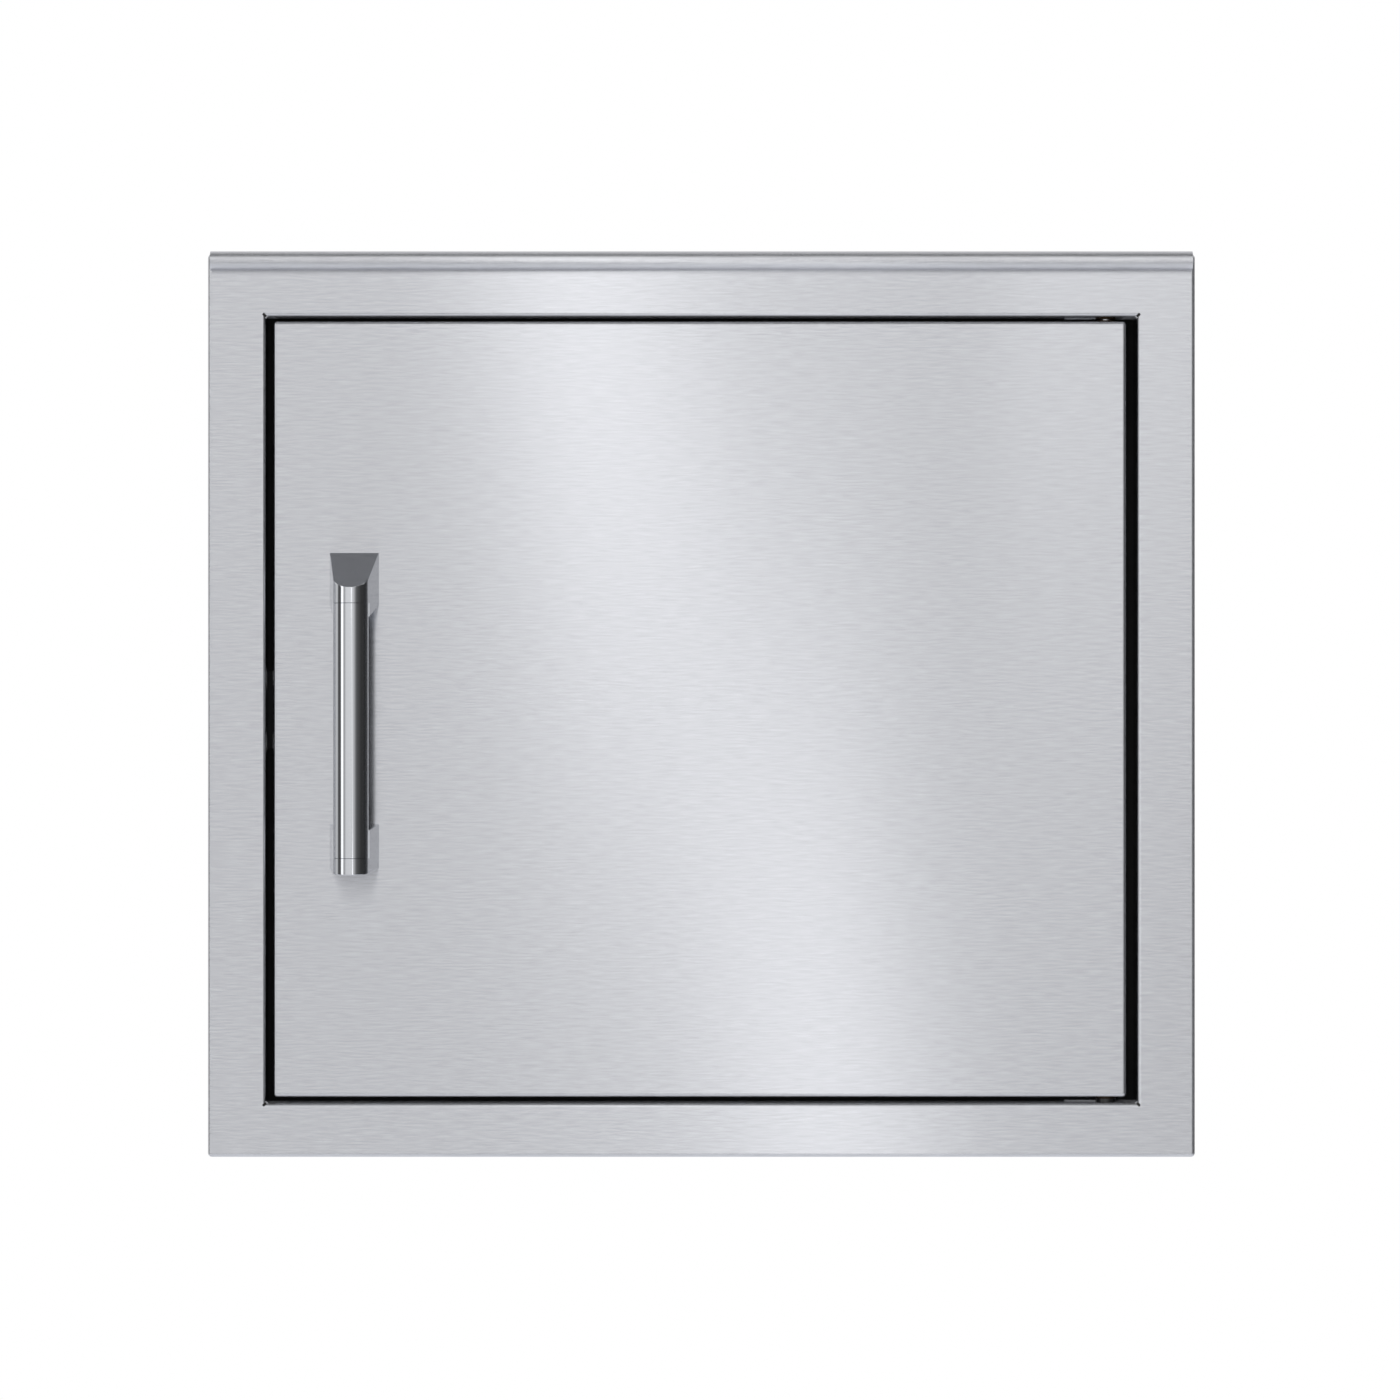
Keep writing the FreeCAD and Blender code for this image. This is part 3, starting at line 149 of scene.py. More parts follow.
def bare_metal(tree, value, colour, roughness, drift, relief=0.0, strength=0.4, grain=None):
    """A metal at the default IOR whose gloss drifts with a pattern, and whose skin follows it. A
    brushed one has a grain: its anisotropy and its tangent."""
    gloss = add(tree, "ShaderNodeMapRange", {
        "Value": value, "To Min": roughness - drift, "To Max": roughness + drift})
    inputs = {"Base Color": colour, "Metallic": 1.0, "Roughness": gloss.outputs[0]}
    if relief:
        skin = add(tree, "ShaderNodeBump", {
            "Height": value, "Strength": strength, "Distance": relief})
        inputs["Normal"] = skin.outputs[0]
    shader = add(tree, "ShaderNodeBsdfPrincipled", inputs | (grain or {}))
    add(tree, "ShaderNodeOutputMaterial", {"Surface": shader.outputs[0]})


def polymer(tree, value, colour, roughness, relief):
    """A plastic or rubber whose moulded texture is as deep as given, in metres."""
    skin = add(tree, "ShaderNodeBump", {"Height": value, "Strength": 0.5, "Distance": relief})
    shader = add(tree, "ShaderNodeBsdfPrincipled", {
        "Base Color": colour, "Roughness": roughness, "IOR": 1.5, "Normal": skin.outputs[0]})
    add(tree, "ShaderNodeOutputMaterial", {"Surface": shader.outputs[0]})


# Finishes, each named for what the real one is

def stainless_sheet_brushed(tree, look):
    """304 sheet, brushed with a long level grain: it mirrors sharply along the grain and smears
    up and down, so it reads as satin with soft level streaks. The strokes are drawn wider than
    real ones, which would be too fine to show."""
    place = add(tree, "ShaderNodeTexCoord")
    # The grain runs along X, and along Y where the sheet is bent round to face sideways.
    facing = add(tree, "ShaderNodeSeparateXYZ", {"Vector": place.outputs["Normal"]})
    aside = add(tree, "ShaderNodeMath", {0: facing.outputs["X"]}, operation="ABSOLUTE")
    sideways = add(tree, "ShaderNodeMath", {
        0: aside.outputs[0], 1: SIDEWAYS}, operation="GREATER_THAN")
    along, across = 1 / look.stroke_length, 1 / look.stroke_width
    level, inward = (
        add(tree, "ShaderNodeMapping", {"Vector": place.outputs["Object"], "Scale": scale})
        for scale in ((along, across, across), (across, along, across)))
    stretched = add(tree, "ShaderNodeMix", {
        0: sideways.outputs[0], 4: level.outputs[0], 5: inward.outputs[0]}, data_type="VECTOR")
    strokes = add(tree, "ShaderNodeTexNoise", {
        "Vector": stretched.outputs[1], "Scale": 1.0, "Detail": 3.0, "Roughness": 0.7})
    colour = add(tree, "ShaderNodeMix", {
        0: strokes.outputs["Fac"], 6: linear(look.dark), 7: linear(look.light)}, data_type="RGBA")
    # The shader stretches its highlight along the tangent, so the tangent lies across the grain.
    grain = add(tree, "ShaderNodeMix", {
        0: sideways.outputs[0], 4: (1, 0, 0), 5: (0, 1, 0)}, data_type="VECTOR")
    over = add(tree, "ShaderNodeVectorMath", {
        0: place.outputs["Normal"], 1: grain.outputs[1]}, operation="CROSS_PRODUCT")
    tangent = add(tree, "ShaderNodeVectorTransform", {"Vector": over.outputs[0]},
                  vector_type="VECTOR", convert_from="OBJECT", convert_to="WORLD")
    bare_metal(tree, strokes.outputs["Fac"], colour.outputs[2], roughness=look.roughness,
               drift=look.drift, relief=look.scratch, strength=0.1,
               grain={"Anisotropic": look.anisotropic, "Tangent": tangent.outputs[0]})


def stainless_sheet_mill_rolled(tree, look):
    """304 sheet as it leaves the mill: a grey, slightly cloudy sheen, faint upright roll lines."""
    bare_metal(tree, *mottled(tree, look.roll_line, look.mill_dark, look.mill_light,
                              stretch=(1, 1, 30)), roughness=look.mill_roughness, drift=0.05)


def stainless_spot_weld_mark(tree, look):
    """Where two electrodes pressed and heated the sheet: a bright dimple, a straw-brown ring."""
    across = add(tree, "ShaderNodeAttribute", attribute_name="across")
    tint = add(tree, "ShaderNodeValToRGB", {"Fac": across.outputs["Fac"]})
    steps = tint.color_ramp.elements
    for at in (look.ring_from, look.ring_to):
        steps.new(at)
    for step, colour in zip(steps, (look.pressed, look.pressed, look.straw, look.rim)):
        step.color = linear(colour)
    bare_metal(tree, across.outputs["Fac"], tint.outputs["Color"], roughness=0.32, drift=0.06)


def weld_bead_scale_and_painted_notch_shade(tree, look):
    """Filler that set in ripples and was left as it cooled: scale and patches of grey metal, both
    painted darker than weld scale as painted shade, so the trim's corner notches read dark.
    """
    bare_metal(tree, *mottled(tree, look.scale_patch, look.scale, look.filler),
               roughness=0.45, drift=0.1, relief=0.02 * MM)


def steel_zinc_plated(tree, look):
    """Pressed steel with bright zinc plate: a cool grey gloss with soft clouds."""
    bare_metal(tree, *mottled(tree, look.cloud, look.zinc_dark, look.zinc_light),
               roughness=look.zinc_roughness, drift=0.06)


def stainless_buffed_bright(tree, look):
    """304 tube and castings, buffed bright: a near mirror with the faint haze of the wheel."""
    bare_metal(tree, *mottled(tree, look.haze_size, look.dark, look.light, stretch=(1, 1, 0.2)),
               roughness=look.roughness, drift=look.haze)


def stainless_turned(tree, look):
    """A2 fasteners and pins, turned and tumbled: even grey gloss broken by fine tool marks."""
    bare_metal(tree, *mottled(tree, look.tool_mark, look.turned_dark, look.turned_light,
                              stretch=(4, 4, 1)),
               roughness=look.turned_roughness, drift=0.05, relief=0.004 * MM)


def spring_wire_drawn(tree, look):
    """Patented spring wire, drawn and oiled: dark grey with a soft line of light on each turn."""
    bare_metal(tree, *mottled(tree, look.tool_mark, look.spring_dark, look.spring_light),
               roughness=0.3, drift=0.06)


def bronze_sintered_oiled_and_painted_gap_shade(tree, look):
    """Oil-filled sintered bronze: brown and matt, with fine dark pores. Its brown is painted darker
    than the bronze as painted shade, so the bushes sink into the dark gaps round the door.
    """
    bare_metal(tree, *mottled(tree, look.pore, look.bronze_gap_shade_dark, look.bronze_gap_shade_light),
               roughness=0.65, drift=0.08, relief=0.02 * MM)


def abs_moulded_black(tree, look):
    """ABS from a spark-eroded mould: an even, fine-grained matt black."""
    polymer(tree, *mottled(tree, look.mould_grain, look.black_dark, look.black_light),
            roughness=0.8, relief=0.03 * MM)


def acetal_turned_black(tree, look):
    """Acetal turned from rod: waxy, nearly black."""
    polymer(tree, *mottled(tree, look.mould_grain, look.black_dark, look.black_light,
                           stretch=(4, 4, 1)), roughness=0.35, relief=0.01 * MM)


def vinyl_dipped_black(tree, look):
    """Vinyl, dipped on: a smooth, soft gloss with a slight orange peel."""
    polymer(tree, *mottled(tree, look.peel, look.black_dark, look.black_light),
            roughness=0.35, relief=0.02 * MM)


def ferrite_fired(tree, look):
    """Ferrite, pressed and fired: charcoal grey and gritty."""
    polymer(tree, *mottled(tree, look.mould_grain, look.ferrite_dark, look.ferrite_light),
            roughness=0.65, relief=0.04 * MM)


def rubber_moulded_black(tree, look):
    """Rubber buttons: matt black, with the slight bloom of new rubber."""
    polymer(tree, *mottled(tree, look.mould_grain, look.rubber_dark, look.rubber_light),
            roughness=0.8, relief=0.03 * MM)


def foam_black_and_painted_gap_shade(tree, look):
    """Closed-cell foam strip, matt and pitted, its black partly painted shade: the near-black colour
    stands in for the shade of the gaps, so that a gap in front of it reads as black.
    """
    polymer(tree, *mottled(tree, look.foam_cell, look.foam_gap_shade_dark, look.foam_gap_shade_light),
            roughness=1.0, relief=0.2 * MM)


# Small parts grown by Geometry Nodes

def sized_tree(name, *sizes):
    """An empty Geometry Nodes tree with a geometry in and out, a material, and an input for each
    size, given as its name and the kind of its socket."""
    tree = bpy.data.node_groups.new(name, "GeometryNodeTree")
    for label, kind in (("Geometry", "Geometry"), *sizes, ("Material", "Material")):
        tree.interface.new_socket(label, in_out="INPUT", socket_type="NodeSocket" + kind)
    tree.interface.new_socket("Geometry", in_out="OUTPUT", socket_type="NodeSocketGeometry")
    return tree, add(tree, "NodeGroupInput")


def end_tree(tree, geometry, material):
    """Closes a tree, with real geometry in one material, and gives it back."""
    real = add(tree, "GeometryNodeRealizeInstances", {"Geometry": geometry})
    dressed = add(tree, "GeometryNodeSetMaterial", {
        "Geometry": real.outputs[0], "Material": material})
    add(tree, "NodeGroupOutput", {0: dressed.outputs[0]})
    return tree


def spaced_points(tree, sizes):
    """Points along the lines that a tree is given, as far apart as its Spacing."""
    curves = add(tree, "GeometryNodeMeshToCurve", {0: sizes.outputs["Geometry"]})
    places = add(tree, "GeometryNodeResampleCurve", {
        "Curve": curves.outputs[0], "Length": sizes.outputs["Spacing"]}, mode="LENGTH")
    return places.outputs[0]


def facing_turn(tree):
    """The turn that makes a piece face the way its line faces."""
    facing = add(tree, "GeometryNodeInputNamedAttribute", {
        "Name": "facing"}, data_type="FLOAT_VECTOR")
    turn = add(tree, "FunctionNodeAlignRotationToVector", {"Vector": facing.outputs[0]}, axis="Z")
    return turn.outputs[0]


def linked(name, mesh):
    """A new object of the scene."""
    made = bpy.data.objects.new(name, mesh)
    bpy.context.scene.collection.objects.link(made)
    return made


def built(name, shape):
    """A new object of the scene from a bmesh, which it frees."""
    mesh = bpy.data.meshes.new(name)
    shape.to_mesh(mesh)
    shape.free()
    return linked(name, mesh)


def grow(name, lines, tree, values, body):
    """Runs a tree on straight lines, given as (start, end, way they face), and keeps a mesh."""
    mesh = bpy.data.meshes.new(name)
    points = [point for start, end, facing in lines for point in (start, end)]
    mesh.from_pydata(points, [(i, i + 1) for i in range(0, len(points), 2)], [])
    facings = mesh.attributes.new("facing", "FLOAT_VECTOR", "POINT")
    for i, (start, end, facing) in enumerate(lines):
        facings.data[2 * i].vector = facing
        facings.data[2 * i + 1].vector = facing
    piece = linked(name, mesh)
    modifier = piece.modifiers.new("grow", "NODES")
    modifier.node_group = tree
    for item in tree.interface.items_tree:
        if item.in_out == "INPUT" and item.name in values:
            modifier[item.identifier] = values[item.name]
    graph = bpy.context.evaluated_depsgraph_get()
    made = bpy.data.meshes.new_from_object(piece.evaluated_get(graph))
    if not made.polygons:
        raise RuntimeError(name + " came out empty")
    # The lines came without a material, which leaves an empty slot before the tree's own.
    made.materials.clear()
    made.materials.append(values["Material"])
    piece.modifiers.clear()
    piece.data = made
    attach(piece, body)
    return piece


def spot_weld_tree():
    """Shallow round dimples, evenly spaced on lines, each turned to face the way its line does."""
    tree, sizes = sized_tree("spot_welds", ("Spacing", "Float"), ("Radius", "Float"),
                             ("Height", "Float"), ("Dimple", "Float"))
    shoulder = add(tree, "ShaderNodeMath", {
        0: sizes.outputs["Radius"], 1: SPOT_SHOULDER}, operation="MULTIPLY")
    disc = add(tree, "GeometryNodeMeshCone", {
        "Vertices": SPOT_SIDES, "Fill Segments": SPOT_RINGS, "Radius Top": shoulder.outputs[0],
        "Radius Bottom": sizes.outputs["Radius"], "Depth": sizes.outputs["Height"]},
        fill_type="TRIANGLE_FAN")
    place = add(tree, "GeometryNodeInputPosition")
    parts = add(tree, "ShaderNodeSeparateXYZ", {0: place.outputs[0]})
    level = add(tree, "ShaderNodeCombineXYZ", {"X": parts.outputs["X"], "Y": parts.outputs["Y"]})
    reach = add(tree, "ShaderNodeVectorMath", {0: level.outputs[0]}, operation="LENGTH")
    share = add(tree, "ShaderNodeMath", {
        0: reach.outputs["Value"], 1: sizes.outputs["Radius"]}, operation="DIVIDE")
    # The dimple is a smooth bowl, deepest in the middle.
    bowl = add(tree, "ShaderNodeMapRange", {
        "Value": share.outputs[0], "From Min": 0.0, "From Max": DIMPLE_REACH,
        "To Min": -1.0, "To Max": 0.0}, interpolation_type="SMOOTHSTEP")
    depth = add(tree, "ShaderNodeMath", {
        0: bowl.outputs[0], 1: sizes.outputs["Dimple"]}, operation="MULTIPLY")
    sink = add(tree, "ShaderNodeCombineXYZ", {"Z": depth.outputs[0]})
    top = add(tree, "ShaderNodeMath", {0: parts.outputs["Z"], 1: 0.0}, operation="GREATER_THAN")
    pressed = add(tree, "GeometryNodeSetPosition", {
        "Geometry": disc.outputs["Mesh"], "Selection": top.outputs[0], "Offset": sink.outputs[0]})
    marked = add(tree, "GeometryNodeStoreNamedAttribute", {
        "Geometry": pressed.outputs[0], "Name": "across", "Value": share.outputs[0]},
        data_type="FLOAT", domain="POINT")
    spots = add(tree, "GeometryNodeInstanceOnPoints", {
        "Points": spaced_points(tree, sizes), "Instance": marked.outputs[0],
        "Rotation": facing_turn(tree)})
    return end_tree(tree, spots.outputs[0], sizes.outputs["Material"])


def weld_bead_tree():
    """Overlapping flattened drops along lines, as the ripples of a weld bead."""
    tree, sizes = sized_tree("weld_beads", ("Spacing", "Float"), ("Radius", "Float"))
    drop = add(tree, "GeometryNodeMeshUVSphere", {
        "Segments": RIPPLE_SIDES, "Rings": RIPPLE_RINGS, "Radius": sizes.outputs["Radius"]})
    round_drop = add(tree, "GeometryNodeSetShadeSmooth", {"Geometry": drop.outputs["Mesh"]})
    drops = add(tree, "GeometryNodeInstanceOnPoints", {
        "Points": spaced_points(tree, sizes), "Instance": round_drop.outputs[0],
        "Scale": (1.0, RIPPLE_SHARE, 1.0)})
    return end_tree(tree, drops.outputs[0], sizes.outputs["Material"])


def cross_screw_tree():
    """A screw at each end of a line, with a cross recess cut in its head."""
    tree, sizes = sized_tree("cross_recess_screws", ("Screw", "Object"), ("Reach", "Float"),
                             ("Width", "Float"), ("Depth", "Float"))
    screw = add(tree, "GeometryNodeObjectInfo", {"Object": sizes.outputs["Screw"]})
    cut = add(tree, "GeometryNodeMeshBoolean", {
        "Mesh 1": screw.outputs["Geometry"]}, operation="DIFFERENCE")
    for x, y in (("Reach", "Width"), ("Width", "Reach")):
        size = add(tree, "ShaderNodeCombineXYZ", {
            "X": sizes.outputs[x], "Y": sizes.outputs[y], "Z": sizes.outputs["Depth"]})
        recess = add(tree, "GeometryNodeMeshCube", {"Size": size.outputs[0]})
        tree.links.new(recess.outputs[0], cut.inputs["Mesh 2"])
    points = add(tree, "GeometryNodeMeshToPoints", {0: sizes.outputs["Geometry"]})
    screws = add(tree, "GeometryNodeInstanceOnPoints", {
        "Points": points.outputs[0], "Instance": cut.outputs[0], "Rotation": facing_turn(tree)})
    return end_tree(tree, screws.outputs[0], sizes.outputs["Material"])


def pan_screw(look, length):
    """One pan-head screw on the Z axis, head up, the middle of its head's top at the origin."""
    rim, shank, seat = look.head_radius, look.shank_radius, -look.head_height
    angles = [math.radians(90) * step / CROWN_STEPS for step in range(CROWN_STEPS + 1)]
    crown = [(rim * math.sin(a), seat * CROWN_SHARE * (1 - math.cos(a))) for a in angles]
    profile = crown + [(rim, seat), (shank, seat), (shank, shank / 2 - length),
                       (shank / 2, -length), (0, -length)]
    lathe = bmesh.new()
    verts = [lathe.verts.new((r, 0, z)) for r, z in profile]
    edges = [lathe.edges.new(pair) for pair in zip(verts, verts[1:])]
    bmesh.ops.spin(lathe, geom=verts + edges, axis=(0, 0, 1), cent=(0, 0, 0), angle=math.tau,
                   steps=LATHE_STEPS)
    bmesh.ops.remove_doubles(lathe, verts=lathe.verts, dist=SAME_PLACE)
    bmesh.ops.recalc_face_normals(lathe, faces=lathe.faces)
    return built("pan_screw", lathe)


def merged_copy(name, node):
    """A copy of a CAD node's mesh, with its loose triangles joined into one smooth skin."""
    skin = bmesh.new()
    skin.from_mesh(NODES[node].data)
    bmesh.ops.remove_doubles(skin, verts=skin.verts, dist=SAME_PLACE)
    for face in skin.faces:
        face.smooth = True
    piece = built(name, skin)
    piece.data.set_sharp_from_angle(angle=SMOOTH_BELOW)
    return piece


def rounded_blocks(name, corners, radius):
    """Soft-edged blocks, each given by its lowest and its highest corner."""
    blocks = bmesh.new()
    for low, high in corners:
        size = [end - start for start, end in zip(low, high)]
        middle = [(start + end) / 2 for start, end in zip(low, high)]
        place = Matrix.Translation(middle) @ Matrix.Diagonal((*size, 1))
        bmesh.ops.create_cube(blocks, matrix=place)
    bmesh.ops.bevel(blocks, geom=blocks.edges[:], offset=radius, segments=PAD_ROUND_STEPS,
                    profile=0.5, affect="EDGES")
    return built(name, blocks)


# Where the marks and beads lie, worked out from the nodes that carry them

def collar_spot_lines(marks):
    """Lines of spot welds on the collar's outside and on the stops' legs inside it."""
    lines = []
    for name in ("stop_side_upper", "stop_side_lower"):
        low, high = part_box(name)
        y = (low.y + marks.sheet + high.y) / 2
        bottom, top = low.z + marks.end, high.z - marks.end
        for x, way in ((low.x - marks.sheet, -1), (low.x + marks.sheet, 1)):
            lines.append(((x, y, bottom), (x, y, top), (way, 0, 0)))
    low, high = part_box("stop_hinge_side")
    y = (low.y + marks.sheet + high.y) / 2
    bottom, top = low.z + marks.hinge_end, high.z - marks.hinge_end
    for x, way in ((high.x + marks.sheet, 1), (high.x - marks.sheet, -1)):
        lines.append(((x, y, bottom), (x, y, top), (way, 0, 0)))
    for name, side in (("stop_top", 1), ("stop_bottom", -1)):
        low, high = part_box(name)
        y = (low.y + marks.sheet + high.y) / 2
        edge = high.z if side > 0 else low.z
        for z, way in ((edge + side * marks.sheet, side), (edge - side * marks.sheet, -side)):
            lines.append(((low.x + marks.end, y, z), (high.x - marks.end, y, z), (0, 0, way)))
    return lines


def door_spot_lines(marks):
    """Lines of spot welds round the door's edges, where its back sits inside its front."""
    low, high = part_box("door_skin")
    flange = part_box("door_liner")[0].y
    y = (flange + high.y - marks.sheet) / 2
    top, bottom = high.z - marks.door_end, low.z + marks.door_end
    left, right = low.x + marks.door_end, high.x - marks.door_end
    return [
        ((low.x, y, bottom), (low.x, y, top), (-1, 0, 0)),
        ((high.x, y, bottom), (high.x, y, top), (1, 0, 0)),
        ((left, y, high.z), (right, y, high.z), (0, 0, 1)),
        ((left, y, low.z), (right, y, low.z), (0, 0, -1)),
    ]


def corner_bead_lines(beads):
    """The collar's four outer corners, from the notches in the trim's face back to the wall."""
    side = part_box("stop_side_upper")[0].x - beads.sheet
    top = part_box("stop_top")[1].z + beads.sheet
    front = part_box("face_frame")[0].y + beads.bead_from
    return [((sx * side, front, sz * top), (sx * side, beads.bead_to, sz * top), (0, 1, 0))
            for sx in (-1, 1) for sz in (-1, 1)]


# Sizes and colours that a user would change

class BrushedLook(bpy.types.PropertyGroup):
    """The finish of the trim, the drip lip and the door."""

    stroke_length: FloatProperty(
        name="Stroke length", description="Length of a brush stroke", default=14 * MM, unit="LENGTH")
    stroke_width: FloatProperty(
        name="Stroke width", description="Width of a brush stroke, as wide as it has to be to show",
        default=1 * MM, unit="LENGTH")
    scratch: FloatProperty(
        name="Scratch depth", description="Depth of the scratches", default=0.05 * MM, unit="LENGTH")
    roughness: FloatProperty(
        name="Roughness", description="Mean roughness of the brushed face",
        default=0.26, min=0, max=1, subtype="FACTOR")
    drift: FloatProperty(
        name="Gloss drift", description="How far single strokes differ in gloss",
        default=0.03, min=0, max=1, subtype="FACTOR")
    anisotropic: FloatProperty(
        name="Anisotropy", description="How much more the brushing smears across than along",
        default=1.0, min=0, max=1, subtype="FACTOR")
    dark: StringProperty(name="Dark strokes", description="sRGB hex colour", default="AFB0B4")
    light: StringProperty(name="Light strokes", description="sRGB hex colour", default="D6D7DB")


class BuffedLook(bpy.types.PropertyGroup):
    """The finish of the handle."""

    haze_size: FloatProperty(
        name="Haze size", description="Width of a patch of haze", default=4 * MM, unit="LENGTH")
    roughness: FloatProperty(
        name="Roughness", description="Mean roughness of the buffed metal",
        default=0.07, min=0, max=1, subtype="FACTOR")
    haze: FloatProperty(
        name="Haze", description="How far the patches differ in gloss",
        default=0.015, min=0, max=1, subtype="FACTOR")
    dark: StringProperty(name="Dark patches", description="sRGB hex colour", default="C2C4C8")
    light: StringProperty(name="Light patches", description="sRGB hex colour", default="C8CACE")


class PlateLook(bpy.types.PropertyGroup):
    """The finish of plain sheet, plated steel and weld marks."""

    roll_line: FloatProperty(
        name="Roll line", description="Width of a roll line", default=2.5 * MM, unit="LENGTH")
    mill_roughness: FloatProperty(
        name="Mill roughness", description="Mean roughness of rolled sheet",
        default=0.36, min=0, max=1, subtype="FACTOR")
    mill_dark: StringProperty(name="Rolled, dark", description="sRGB hex colour", default="B0B1B4")
    mill_light: StringProperty(name="Rolled, light", description="sRGB hex colour", default="C0C1C4")
    cloud: FloatProperty(
        name="Zinc cloud", description="Width of a cloud in the plating", default=3 * MM, unit="LENGTH")
    zinc_roughness: FloatProperty(
        name="Zinc roughness", description="Mean roughness of the plating",
        default=0.3, min=0, max=1, subtype="FACTOR")
    zinc_dark: StringProperty(name="Zinc, dark", description="sRGB hex colour", default="B0B3B7")
    zinc_light: StringProperty(name="Zinc, light", description="sRGB hex colour", default="C4C6C8")
    ring_from: FloatProperty(
        name="Heat ring from", description="Share of a spot's radius where its tint begins",
        default=0.62, min=0, max=1, subtype="FACTOR")
    ring_to: FloatProperty(
        name="Heat ring to", description="Share of a spot's radius where its tint is deepest",
        default=0.8, min=0, max=1, subtype="FACTOR")
    pressed: StringProperty(name="Pressed metal", description="sRGB hex colour", default="C6C6C6")
    straw: StringProperty(name="Heat tint", description="sRGB hex colour", default="A08C6E")
    rim: StringProperty(name="Edge of the tint", description="sRGB hex colour", default="A6A5A6")
    scale_patch: FloatProperty(
        name="Scale patch", description="Width of a patch of weld scale", default=1.2 * MM,
        unit="LENGTH")
    # Weld scale and filler are painted darker than the bead's own scale: painted shade in the trim's
    # corner notches.
    scale: StringProperty(name="Weld scale", description="sRGB hex colour", default="242220")
    filler: StringProperty(name="Weld filler", description="sRGB hex colour", default="5C5A58")


class FittingsLook(bpy.types.PropertyGroup):
    """The finish of turned, drawn and sintered fittings."""

    tool_mark: FloatProperty(
        name="Tool mark", description="Width of a tool mark", default=0.4 * MM, unit="LENGTH")
    turned_roughness: FloatProperty(
        name="Turned roughness", description="Mean roughness of turned steel",
        default=0.24, min=0, max=1, subtype="FACTOR")
    turned_dark: StringProperty(name="Turned, dark", description="sRGB hex colour", default="AEAEB0")
    turned_light: StringProperty(name="Turned, light", description="sRGB hex colour", default="C0C0C2")
    spring_dark: StringProperty(name="Wire, dark", description="sRGB hex colour", default="7E7F82")
    spring_light: StringProperty(name="Wire, light", description="sRGB hex colour", default="9A9B9E")
    pore: FloatProperty(name="Pore", description="Width of a pore", default=0.4 * MM, unit="LENGTH")
    # The bronze is painted darker than the bronze itself: painted shade for the gaps where the bushes
    # show.
    bronze_gap_shade_dark: StringProperty(name="Bronze, dark", description="sRGB hex colour", default="2B231B")
    bronze_gap_shade_light: StringProperty(name="Bronze, light", description="sRGB hex colour", default="44372A")


class SoftLook(bpy.types.PropertyGroup):
    """The finish of plastics, rubber, ferrite and foam."""

    mould_grain: FloatProperty(
        name="Mould grain", description="Width of the mould's grain", default=0.5 * MM, unit="LENGTH")
    peel: FloatProperty(
        name="Orange peel", description="Width of a wave in dipped vinyl", default=2 * MM, unit="LENGTH")
    foam_cell: FloatProperty(
        name="Foam cell", description="Width of a cell of the foam", default=0.7 * MM, unit="LENGTH")
    pad_round: FloatProperty(
        name="Pad rounding", description="How far the edges of the seal's end pads are rounded",
        default=0.6 * MM, unit="LENGTH")
    black_dark: StringProperty(
        name="Black plastic, dark", description="sRGB hex colour", default="0F0F10")
    black_light: StringProperty(
        name="Black plastic, light", description="sRGB hex colour", default="18181A")
    ferrite_dark: StringProperty(name="Ferrite, dark", description="sRGB hex colour", default="2A2828")
    ferrite_light: StringProperty(name="Ferrite, light", description="sRGB hex colour", default="383534")
    rubber_dark: StringProperty(name="Rubber, dark", description="sRGB hex colour", default="1E1E1E")
    rubber_light: StringProperty(name="Rubber, light", description="sRGB hex colour", default="272727")
    # The foam's near black is partly painted shade, for the gaps round the door.
    foam_gap_shade_dark: StringProperty(name="Foam, dark", description="sRGB hex colour", default="080808")
    foam_gap_shade_light: StringProperty(name="Foam, light", description="sRGB hex colour", default="101010")


class WeldSizes(bpy.types.PropertyGroup):
    """The spot welds and the corner beads."""

    sheet: FloatProperty(
        name="Sheet", description="Thickness of the sheet", default=1.2 * MM, unit="LENGTH")
    spacing: FloatProperty(
        name="Spot spacing", description="From one spot weld to the next", default=55 * MM,
        unit="LENGTH")
    radius: FloatProperty(
        name="Spot radius", description="Radius of a spot's mark", default=2.6 * MM, unit="LENGTH")
    height: FloatProperty(
        name="Spot height", description="How far its ring stands proud", default=0.12 * MM,
        unit="LENGTH")
    dimple: FloatProperty(
        name="Dimple", description="Depth of the electrode's dimple", default=0.1 * MM, unit="LENGTH")
    end: FloatProperty(
        name="Stop end", description="From the end of a stop to its last spot", default=16 * MM,
        unit="LENGTH")
    hinge_end: FloatProperty(
        name="Hinge stop end", description="From the end of the hinge side's stop to its last spot",
        default=24 * MM, unit="LENGTH")
    door_end: FloatProperty(
        name="Door end", description="From a corner of the door to its first spot",
        default=45 * MM, unit="LENGTH")
    bead_radius: FloatProperty(
        name="Bead radius", description="Radius of a corner's bead", default=1.55 * MM, unit="LENGTH")
    ripple: FloatProperty(
        name="Ripple", description="From one ripple of a bead to the next", default=1.1 * MM,
        unit="LENGTH")
    bead_from: FloatProperty(
        name="Bead start", description="Where a bead starts behind the trim's face",
        default=5.1 * MM, unit="LENGTH")
    bead_to: FloatProperty(
        name="Bead end", description="Where a bead ends, from the wall's face",
        default=-1.6 * MM, unit="LENGTH")


